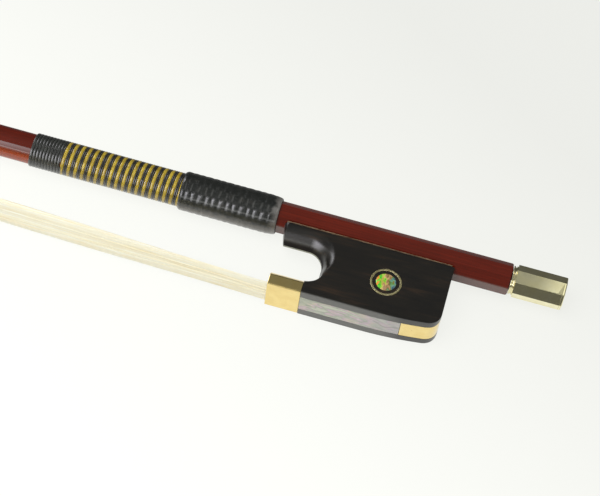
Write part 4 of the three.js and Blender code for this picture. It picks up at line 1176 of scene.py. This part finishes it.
button_section = octagon(SHELL_REACH, BUTTON_TURN)
shell = prism(button_section, shell_low.x, shell_high.x, "shell_metal")
round_edges(shell, 0.12, 3, lambda a, b: abs(a.x - b.x) > 1)
cut(shell, rod(shell_low.x - 2, shell_high.x + 2, SHELL_BORE))
finish_piece(soften(shell, 0.06), BUTTON_METAL, "button", "gilt_metal", "button_shell")

cap = prism(button_section, shell_high.x, BUTTON_TIP, "cap_metal")
round_edges(cap, 0.12, 3, lambda a, b: abs(a.x - b.x) > 0.5)
round_edges(cap, 0.4, 4, lambda a, b: min(a.x, b.x) > BUTTON_TIP - 0.01)
finish_piece(shade(cap, 35), BUTTON_METAL, "button", "gilt_metal", "button_cap")

# %% [markdown]
# ## The grip
#
# The grip is one layer of thin leather glued over the end of the lapping, so the turns below
# show through it as slanted ridges. The skin is drawn as a fine grid round the stick whose
# radius is the sum of the sleeve's own profile, the ridges and a seam at the back.

# %% Leather
GRIP_START, GRIP_END = (corner.x for corner in span("leather_grip"))
GRIP_RADIUS, GRIP_TAIL, GRIP_INNER = 5.95, 5.35, 5.25
GRIP_LIP, GRIP_ROUND = 0.45, 4.6
PITCH = 2.13
RIDGE, SEAM, SEAM_TURN, SEAM_WIDE = 0.08, 0.10, math.pi / 4, 0.06
GRIP_RINGS, GRIP_SIDES = 260, 160


def grip_radius(x, turn):
    front = min(1, x - GRIP_START)
    back = max(0, 1 - (GRIP_END - x) / GRIP_ROUND)
    rounding = (GRIP_RADIUS - GRIP_TAIL) * (1 - math.sqrt(max(0, 1 - back ** 2)))
    radius = GRIP_RADIUS - GRIP_LIP * (1 - front) ** 2 - rounding
    wave = math.cos(2 * math.pi * x / PITCH - turn + 0.5 * math.sin(3 * turn + x))
    sides = min(1, (x - GRIP_START) / 2, (GRIP_END - x) / 3.5)
    seam = SEAM * math.exp(-((turn - SEAM_TURN) / SEAM_WIDE) ** 2)
    return radius - RIDGE * sides * (0.5 - 0.5 * wave) ** 1.5 - seam


def grip_ring(x, radius=None):
    ring = []
    for turn in round_turns(GRIP_SIDES):
        reach = radius or grip_radius(x, turn)
        ring.append((x, axis_height(x) + reach * math.sin(turn), reach * math.cos(turn)))
    return ring


leather_rings = [grip_ring(x) for x in np.linspace(GRIP_START, GRIP_END, GRIP_RINGS)]
leather_rings += [grip_ring(x, radius=GRIP_INNER) for x in (GRIP_END, GRIP_START)]
grip = shade(skin("grip_leather", leather_rings, closed=True), 60)
finish_piece(grip, LEATHER, "stick", "leather", "leather_grip")

# %% [markdown]
# ## The lapping
#
# Three strands are wound side by side along the stick: one yellow and two black. A strand is a
# spiral with a flattened section, which is what Geometry Nodes do well: the same group makes
# every winding from its length, turns, width and starting turn. Very shallow lobes round the
# section stand for the plies of the thread. The tube is made round an upright axis, where a
# normal that stays level always points away from the stick, and is then laid along the stick.
# The strands run on under the leather, as real ones do.

# %% Geometry group


class Group(Nodes):
    """A Geometry Nodes group with named inputs."""

    def __init__(self, name, **inputs):
        super().__init__(bpy.data.node_groups.new(name, "GeometryNodeTree"))
        face = self.tree.interface
        face.new_socket("Geometry", in_out="OUTPUT", socket_type="NodeSocketGeometry")
        self.names = {}
        for key, value in inputs.items():
            kind = "Material" if value is None else type(value).__name__.capitalize()
            socket = face.new_socket(key, in_out="INPUT", socket_type=f"NodeSocket{kind}")
            if value is not None:
                socket.default_value = value
            self.names[key] = socket.identifier
        source = self.tree.nodes.new("NodeGroupInput")
        self.inputs = {key: Wire(self, source.outputs[key]) for key in inputs}

    def vector(self, x=0.0, y=0.0, z=0.0):
        return self.node("ShaderNodeCombineXYZ", {0: x, 1: y, 2: z})

    def position(self):
        return self.node("GeometryNodeInputPosition")

    def set_place(self, geometry, **places):
        return self.node("GeometryNodeSetPosition", {"Geometry": geometry, **places})

    def transform(self, geometry, **places):
        return self.node("GeometryNodeTransform", {"Geometry": geometry, **places})

    def store(self, geometry, name, value):
        sockets = {"Geometry": geometry, "Name": name, "Value": value}
        return self.node("GeometryNodeStoreNamedAttribute", sockets, data_type="FLOAT", domain="POINT")

    def stored(self, name):
        return self.node("GeometryNodeInputNamedAttribute", {"Name": name}, data_type="FLOAT")

    def tube(self, curve, section):
        sockets = {"Curve": curve, "Profile Curve": section, "Fill Caps": True}
        return self.node("GeometryNodeCurveToMesh", sockets)

    def finish(self, geometry):
        """Smooths the shading, realizes the instances and sets the material."""
        made = self.node("GeometryNodeSetShadeSmooth", {"Geometry": geometry})
        made = self.node("GeometryNodeRealizeInstances", {0: made})
        sockets = {"Geometry": made, "Material": self.inputs["Material"]}
        made = self.node("GeometryNodeSetMaterial", sockets)
        self.feed(self.tree.nodes.new("NodeGroupOutput").inputs[0], made)

    def make(self, name, **values):
        """Runs the group once and keeps the mesh that it makes."""
        piece = bpy.data.objects.new(name, bpy.data.meshes.new(name))
        bpy.context.scene.collection.objects.link(piece)
        change = piece.modifiers.new("made", "NODES")
        change.node_group = self.tree
        for key, value in values.items():
            change[self.names[key]] = value
        return settle(piece)


print("the lapping starts at", round(span("lapping_yellow_strand")[0].x, 2), "mm")

# %% Winding group
SECTION_POINTS, FLATNESS, PLIES = 14, 0.6, 3.0
END_TAPER, END_WIDTH = 300.0, 0.3


def camber_in(group, geometry):
    """Lifts a geometry by the stick's camber at each place along it."""
    x = group.split(group.position())[0]
    back = (x * (1 / HEAD_REAR)).maths("MAXIMUM", 0.0)
    return group.set_place(geometry, Offset=group.vector(y=back ** CAMBER_POWER * CAMBER_RISE))


def strand_path(group):
    """A spiral whose two ends taper, with its length so far stored along it."""
    inputs = group.inputs
    sockets = {"Resolution": inputs["Steps"], "Rotations": inputs["Turns"], "Reverse": False,
               "Start Radius": inputs["Radius"], "End Radius": inputs["Radius"], "Height": inputs["Length"]}
    helix = group.node("GeometryNodeCurveSpiral", sockets)
    helix = group.transform(helix, Rotation=group.vector(z=inputs["Turn"]))
    helix = group.node("GeometryNodeSetCurveNormal", {"Curve": helix}, mode="Z_UP")
    share = group.node("GeometryNodeSplineParameter", output=0)
    along = group.node("GeometryNodeSplineParameter", output=1)
    ends = (share * END_TAPER).maths("MINIMUM", (1.0 - share) * END_TAPER)
    ends = (ends + END_WIDTH).maths("MINIMUM", 1.0)
    helix = group.node("GeometryNodeSetCurveRadius", {"Curve": helix, "Radius": ends})
    return group.store(helix, "along", along)


def strand_section(group):
    """A flattened circle, whose points know how far round they are."""
    sockets = {"Resolution": SECTION_POINTS, "Radius": 1.0}
    section = group.node("GeometryNodeCurvePrimitiveCircle", sockets)
    order = group.node("GeometryNodeInputIndex")
    section = group.store(section, "around", order * (2 * math.pi / SECTION_POINTS))
    out, across = group.split(group.position())[:2]
    flat_out = out.maths("SIGN") * out.maths("ABSOLUTE") ** FLATNESS
    corner = group.vector(flat_out * group.inputs["High"], across * group.inputs["Wide"])
    return group.set_place(section, Position=corner)


def winding_group():
    group = Group("winding", Turns=1.0, Start=0.0, Length=1.0, Radius=1.0, Wide=1.0, High=1.0, Turn=0.0,
                  Twist=1.0, Lobe=0.0, Steps=64, Material=None)
    tube = group.tube(strand_path(group), strand_section(group))
    ply = group.stored("around") * PLIES + group.stored("along") * group.inputs["Twist"]
    sink = (ply.maths("SINE") - 1.0) * group.inputs["Lobe"]
    sockets = {0: group.node("GeometryNodeInputNormal"), "Scale": sink}
    tube = group.set_place(tube, Offset=group.node("ShaderNodeVectorMath", sockets, operation="SCALE"))
    start = group.vector(group.inputs["Start"])
    tube = group.transform(tube, Rotation=(0, math.pi / 2, 0), Translation=start)
    group.finish(camber_in(group, tube))
    return group


WINDING = winding_group()
print("winding group:", len(WINDING.tree.nodes), "nodes")

# %% [markdown]
# Two neighbouring strands touch when their middles lie as far apart as half of each width. The
# yellow one is 1.02 mm wide and the black ones 0.55 mm, which fills the pitch. The fine thread
# beyond the end of the lapping is a single strand whose turns also touch.

# %% Windings
LAPPING_START = span("lapping_yellow_strand")[0].x
LAPPING_END = GRIP_END - 0.6
THREAD_START, THREAD_END = (corner.x for corner in span("thread_lapping"))
STRAND_HEIGHT = 0.275
STRAND_SEAT = ROUND_DIAMETER / 2 + STRAND_HEIGHT
YELLOW_HALF, BLACK_HALF, THREAD_HALF = 0.51, 0.275, 0.48
BLACK_TURN = 2 * math.pi * (YELLOW_HALF + BLACK_HALF) / PITCH


def wind(name, start, end, pitch, half_wide, material, steps=110, **more):
    length = end - start
    return WINDING.make(name, Turns=length / pitch, Start=start, Length=length, Radius=STRAND_SEAT,
                        Wide=half_wide, High=STRAND_HEIGHT * 0.98, Steps=steps, Material=material, **more)


lapped = (LAPPING_START, LAPPING_END, PITCH)
yellow = wind("yellow_turns", *lapped, YELLOW_HALF, YELLOW, steps=150)
finish_piece(yellow, YELLOW, "stick", "yellow_thread", "lapping_yellow_strand")
for letter, turn in (("a", BLACK_TURN), ("b", -BLACK_TURN)):
    black = wind(f"black_turns_{letter}", *lapped, BLACK_HALF, BLACK, Turn=turn, Twist=8.0, Lobe=0.003)
    finish_piece(black, BLACK, "stick", "black_thread", "lapping_black_strand", "lapping_under_grip")
fine = wind("thread_turns", THREAD_START, THREAD_END + 0.5, 2 * THREAD_HALF, THREAD_HALF, THREAD,
            Turn=1.0, Twist=6.0, Lobe=0.012)
finish_piece(fine, THREAD, "stick", "black_thread", "thread_lapping")

# %% [markdown]
# ## The hair
#
# A cello bow has some 200 hairs. They leave the ferrule as a flat ribbon, and because this bow
# is slack they swell into a wider and thicker band before they gather at the head. Each hair is
# a copy of one line. Its place in the ribbon is a point in a square, and the square is stretched
# to the ribbon's width and thickness at each place along the bow. A plain core inside keeps the
# light from coming through.

# %% Hair group
HAIR_COUNT, HAIR_THIN, HAIR_SECTIONS = 260, 0.13, 70
HAIR_START, HAIR_END = HAIR_FRONT[0] - 0.05, HEAD_REAR - 3.5 - 0.9
SWELL_END, GATHER_START = FERRULE_FRONT - 70.0, -420.0
HALF_WIDTHS = (5.25, 6.0, 3.4)
HALF_HEIGHTS = (0.5, 1.1, 0.5)


def between(share, low, high):
    return share * (high - low) + low


def band_size(swell, gather, sizes):
    """Half the band's width or height, from that at the ferrule, in the swell and at the head."""
    ferrule, middle, head = sizes
    return between(gather, between(swell, ferrule, middle), head)


def hair_lines(group):
    """Copies of one line at random points of a square that stands across the bow."""
    inputs = group.inputs
    sides = {"Size X": 2.0, "Size Y": 2.0, "Vertices X": 2, "Vertices Y": 2}
    square = group.transform(group.node("GeometryNodeMeshGrid", sides), Rotation=(0, math.pi / 2, 0))
    density = inputs["Count"].maths("DIVIDE", 4.0)
    places = group.node("GeometryNodeDistributePointsOnFaces", {
        "Mesh": square, "Density": density, "Seed": inputs["Seed"]}, distribute_method="RANDOM")
    ends = {"Start": (HAIR_START, 0, 0), "End": (HAIR_END, 0, 0)}
    line = group.node("GeometryNodeCurvePrimitiveLine", ends)
    line = group.node("GeometryNodeResampleCurve", {"Curve": line, "Count": HAIR_SECTIONS})
    hairs = group.node("GeometryNodeInstanceOnPoints", {"Points": places, "Instance": line})
    return group.node("GeometryNodeRealizeInstances", {0: hairs})


def hair_group():
    group = Group("hair", Count=200, Thin=0.12, Seed=1, Material=None)
    thin = group.inputs["Thin"]
    hairs = hair_lines(group)
    place = group.position()
    x, v, u = group.split(place)

    def along(start, end):
        sockets = {0: x, 1: start, 2: end, 3: 0.0, 4: 1.0}
        return group.node("ShaderNodeMapRange", sockets, interpolation_type="SMOOTHSTEP")

    swell, gather = along(FERRULE_FRONT, SWELL_END), along(GATHER_START, HEAD_REAR)
    wide = band_size(swell, gather, HALF_WIDTHS) - thin
    high = band_size(swell, gather, HALF_HEIGHTS) - thin
    stretched = group.node("ShaderNodeVectorMath", {0: place, 1: (0.012, 1.7, 1.7)}, operation="MULTIPLY")
    cloud = {"Vector": stretched, "Scale": 1.0, "Detail": 1.0}
    wander = group.node("ShaderNodeTexNoise", cloud, 1, noise_dimensions="3D")
    wander = group.node("ShaderNodeVectorMath", {0: wander, 1: (0.5, 0.5, 0.5)}, operation="SUBTRACT")
    shift_v, shift_u = group.split(wander)[:2]
    v = (v + shift_v * 0.5).maths("MAXIMUM", -1.0).maths("MINIMUM", 1.0)
    u = (u + shift_u * 0.35).maths("MAXIMUM", -1.0).maths("MINIMUM", 1.0)
    # The band is rounded: it is full thickness in the middle and thins at its edges
    edge = (1.0 - u.maths("ABSOLUTE") ** 4.0 * 0.8).maths("SQRT")
    run = (x - HAIR_FRONT[0]) * -HAIR_SLOPE
    y = run + HAIR_FRONT[1] + v * high * edge
    hairs = group.set_place(hairs, Position=group.vector(x, y, u * wide))
    section = group.node("GeometryNodeCurvePrimitiveCircle", {"Resolution": 5, "Radius": thin})
    group.finish(group.tube(hairs, section))
    return group


hairs = hair_group().make("hairs", Count=HAIR_COUNT, Thin=HAIR_THIN, Seed=4, Material=HAIR)
print("hairs:", HAIR_COUNT, "with", len(hairs.data.polygons), "faces")

# %% Core of the hair
CORE_WIDE, CORE_HIGH, CORE_RINGS, CORE_SIDES, KNOT_SIDES = 0.28, 0.22, 120, 32, 28


def smooth_step(share):
    share = min(1, max(0, share))
    return share * share * (3 - 2 * share)


def rounded(turns, powers, half_wide, half_high):
    """A flat section with round corners: how far each point is across and up."""
    parts = []
    for wave, power, half in ((np.cos(turns), powers[0], half_wide), (np.sin(turns), powers[1], half_high)):
        parts.append(np.sign(wave) * np.abs(wave) ** power * half)
    return list(zip(*parts))


def hair_core():
    """A solid band just inside the outer hairs."""
    rings = []
    for x in np.linspace(HAIR_START, HAIR_END, CORE_RINGS):
        swell = smooth_step((FERRULE_FRONT - x) / (FERRULE_FRONT - SWELL_END))
        gather = smooth_step((x - GATHER_START) / (HEAD_REAR - GATHER_START))
        wide = band_size(swell, gather, HALF_WIDTHS) - CORE_WIDE
        high = band_size(swell, gather, HALF_HEIGHTS) - CORE_HIGH
        middle = HAIR_FRONT[1] - (x - HAIR_FRONT[0]) * HAIR_SLOPE
        section = rounded(round_turns(CORE_SIDES), (0.4, 0.4), wide, high)
        rings.append([(x, middle + up, across) for across, up in section])
    return shade(skin("core", rings), 60)


def join(name, *pieces):
    """Several meshes in one."""
    work = bmesh.new()
    for piece in pieces:
        work.from_mesh(piece.data)
        bpy.data.objects.remove(piece)
    mesh = bpy.data.meshes.new(name)
    work.to_mesh(mesh)
    work.free()
    joined = bpy.data.objects.new(name, mesh)
    bpy.context.scene.collection.objects.link(joined)
    return joined


ribbon = join("hair_band", hairs, hair_core())
finish_piece(ribbon, HAIR, None, "horsehair", "hair_ribbon")
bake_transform(ribbon)

# %% [markdown]
# At both ends the hair is tied into a knot and held by a wooden plug. The knots are hidden, but
# they are there when the bow is opened, so each gets its true shape: a flat run of hair that
# turns up into the mortise and swells where it is bound.

# %% Knots


def knot(name, path):
    """Rounded sections along a path: [x, y, half width, half thickness] with a direction."""
    rings = []
    places = np.array([row[:2] for row in path], float)
    along = np.gradient(places, axis=0)
    along /= np.linalg.norm(along, axis=1)[:, None]
    for (x, y, wide, thick), (dx, dy) in zip(path, along):
        section = rounded(round_turns(KNOT_SIDES), (0.5, 0.6), wide, thick)
        rings.append([(x - dy * up, y + dx * up, across) for across, up in section])
    return shade(skin(name, rings), 60)


front_path = [
    (1.3, -25.55, 5.1, 0.45), (4, -25.55, 5.1, 0.45), (6.9, -25.5, 5.1, 0.45), (9.0, -25.0, 5.1, 0.42),
    (11.2, -24.42, 5.1, 0.42), (14, -24.4, 4.9, 0.42), (17, -24.35, 4.6, 0.45), (18.8, -24.0, 4.6, 0.5),
    (19.9, -23.0, 4.6, 0.6), (20.0, -21.5, 4.6, 1.5), (20.0, -20.0, 4.6, 1.9), (20.0, -18.0, 4.6, 1.9),
    (20.0, -16.8, 4.5, 1.7), (20.0, -16.1, 4.2, 1.2),
]
finish_piece(knot("hair_knot", front_path), HAIR, "frog", "horsehair", "frog_hair_knot")
tip_path = [
    (-4.05, 0.1, 3.4, 0.42), (-4.05, 1.2, 3.4, 0.42), (-4.1, 2.6, 3.4, 0.45), (-4.6, 3.6, 3.4, 0.8),
    (-5.6, 4.4, 3.4, 1.6), (-6.2, 5.4, 3.4, 2.4), (-6.2, 6.6, 3.4, 2.4), (-6.2, 7.6, 3.2, 1.8),
]
finish_piece(placed_in_head(knot("head_knot", tip_path)), HAIR, "stick", "horsehair", "tip_hair_knot")

# %% [markdown]
# ## Pieces kept as they are
#
# The solids of the underslide, the screws, the nut, the plugs and the wedge already have their
# real shapes, so they only need their finish.

# %% Finishes on the other solids
KEPT = {
    "heel_plate_pin": GILT, "underslide": LINING, "underslide_screw_front": BRASS,
    "underslide_screw_rear": BRASS, "eyelet": BRASS, "adjuster_screw": STEEL, "button_core": EBONY,
    "slide_bed": EBONY, "spread_wedge": MAPLE, "frog_mortise_plug": MAPLE, "tip_mortise_plug": MAPLE,
}
for node, material in KEPT.items():
    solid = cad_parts[node]
    if not solid.material_slots:
        solid.data.materials.append(material)
    for place in solid.material_slots:
        place.material = material
print("finished solids:", len(KEPT))

# %% [markdown]
# ## Table and light
#
# The table is a pale sheet. What the camera sees of it is mostly its own white, with painted light
# that makes it brighter towards the front left and darker towards the back right, and a small
# share of real light that keeps the shadow. In reflections it is painted bright only in a band by
# the bow and dark behind it and far in front, which is painted shade. The room is even and pale
# for the light that falls on the bow. In reflections it is dim and a little paler overhead, with
# three bright places that the metal and the varnish mirror: a large soft window on the left, a
# low strip in front and a small patch overhead on the right.

# %% Table
TABLE_WHITE = paint(247, 248, 243)
TABLE_HALF, TABLE_GAP = 4.0, 0.0002


def table():
    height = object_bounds()[0].z - TABLE_GAP
    corners = ((-1, -1), (1, -1), (1, 1), (-1, 1))
    points = [(a * TABLE_HALF, b * TABLE_HALF, height) for a, b in corners]
    piece = new_piece("table", points, [(0, 1, 2, 3)])
    finish = Finish("table", Base_Color=paint(235, 235, 230), Roughness=0.9, Specular_IOR_Level=0.0)
    glossy_ray = finish.ray("Glossy")
    seen = (finish.ray("Camera") + glossy_ray + finish.ray("Transmission")).clamp()
    x, y = finish.bench()[:2]
    # Painted light: the table is painted brighter towards the front left and darker towards the back right.
    painted_light_falloff = finish.grey(x * 0.6 + y, (-150, 1.06), (100, 0.81))
    # Painted shade: in reflections the table is bright only in a band by the bow, and dark behind it and
    # far in front.
    painted_lit_band = finish.grey(y, (-120, 0.15), (-45, 1.0)) * finish.grey(y, (6, 1.0), (20, 0.12))
    strength = glossy_ray * painted_lit_band * 0.75 + (1 - glossy_ray) * painted_light_falloff
    glow = finish.node("ShaderNodeEmission", {"Color": TABLE_WHITE, "Strength": strength})
    share = finish.mix(glossy_ray, (0.09, 0.09, 0.088, 1), painted_lit_band * 0.3)
    faint = finish.node("ShaderNodeBsdfDiffuse", {"Color": share})
    both = finish.node("ShaderNodeAddShader", {0: glow, 1: faint})
    plain = Wire(finish, finish.surface.outputs[0])
    mixed = finish.node("ShaderNodeMixShader", {0: seen, 1: plain, 2: both})
    finish.feed(finish.tree.nodes["Material Output"].inputs["Surface"], mixed)
    piece.data.materials.append(finish.material)
    piece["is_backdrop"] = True
    return height


print("table at height", round(table(), 4))

# %% Room
WINDOW_TINT = (0.93, 0.90, 1.0, 1)
ROOM_LOW, ROOM_HIGH, EVEN = 0.14, 0.30, 0.42
WINDOW, FRONT, ABOVE, WINDOW_SHARE = 7.5, 2.2, 1.0, 0.9


def room():
    world = bpy.data.worlds.new("room")
    bpy.context.scene.world = world
    world.use_nodes = True
    world.node_tree.nodes.clear()
    sky = Nodes(world.node_tree)
    x, y, z = sky.split(sky.node("ShaderNodeTexCoord", output="Generated"))
    ceiling = sky.grey(z, (0.1, ROOM_LOW), (0.98, ROOM_HIGH)) * (1 - y.clamp() * 0.35)
    edge = sky.grey(x * -0.996 + y * 0.087, (0.03, 0.0), (0.30, 1.0))
    top = sky.grey(z - x * 0.5, (0.91, 1.0), (0.96, 0.0)) * sky.grey(z, (-0.05, 0.1), (0.75, 1.0))
    back = sky.grey(y + x * 0.9, (0.0, 1.0), (0.3, 0.0))
    window = edge * top * back * sky.grey(x, (-0.90, 0.1), (-0.72, 1.0))
    strip = sky.grey(z, (0.27, 0), (0.33, 1)) * sky.grey(z, (0.40, 1), (0.46, 0))
    front = sky.grey(y, (-0.84, 1.0), (-0.74, 0.0)) * strip
    above = sky.grey(x, (0.045, 0), (0.11, 1)) * sky.grey(z, (0.88, 0), (0.95, 1))
    light = ceiling + window * WINDOW + front * FRONT + above * ABOVE
    camera_ray, glossy_ray = sky.ray("Camera"), sky.ray("Glossy")
    strength = glossy_ray * light + (1 - glossy_ray) * (window * WINDOW_SHARE + EVEN)
    strength = (1 - camera_ray) * strength + camera_ray
    tint = sky.mix(window, TABLE_WHITE, WINDOW_TINT)
    glow = sky.node("ShaderNodeBackground", {"Color": tint, "Strength": strength})
    sky.feed(sky.tree.nodes.new("ShaderNodeOutputWorld").inputs["Surface"], glow)
    return world


print("world:", room().name)

# %% [markdown]
# A broad lamp overhead adds the soft shadow on the table. It is hidden from reflections, which
# would otherwise show its square.

# %% Lamp
LAMP_SIZE, LAMP_POWER = 0.9, 10.8


def lamp(name, place, target, size, power):
    """A square lamp that no reflection shows."""
    data = bpy.data.lights.new(name, "AREA")
    data.shape, data.size, data.energy = "SQUARE", size, power
    piece = bpy.data.objects.new(name, data)
    bpy.context.scene.collection.objects.link(piece)
    piece.location = place
    piece.rotation_euler = (target - place).to_track_quat("-Z", "Y").to_euler()
    piece.visible_glossy = False
    return piece


view_middle = TO_SCENE @ Vector((6, -9, 0))
lamp_place = view_middle + Vector((-0.35, -0.25, 1.1))
overhead = lamp("overhead", lamp_place, view_middle, LAMP_SIZE, LAMP_POWER)
print("lamp at", [round(v, 2) for v in overhead.location])

# %% [markdown]
# Last, the two boxes are printed: that of the solids, and that of the dressed bow, which must
# not be larger.

# %% Sizes
boxes = [[list(corner) for corner in box] for box in (solid_box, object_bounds())]
print("solids", [[round(v, 4) for v in corner] for corner in boxes[0]])
print("dressed", [[round(v, 4) for v in corner] for corner in boxes[1]])
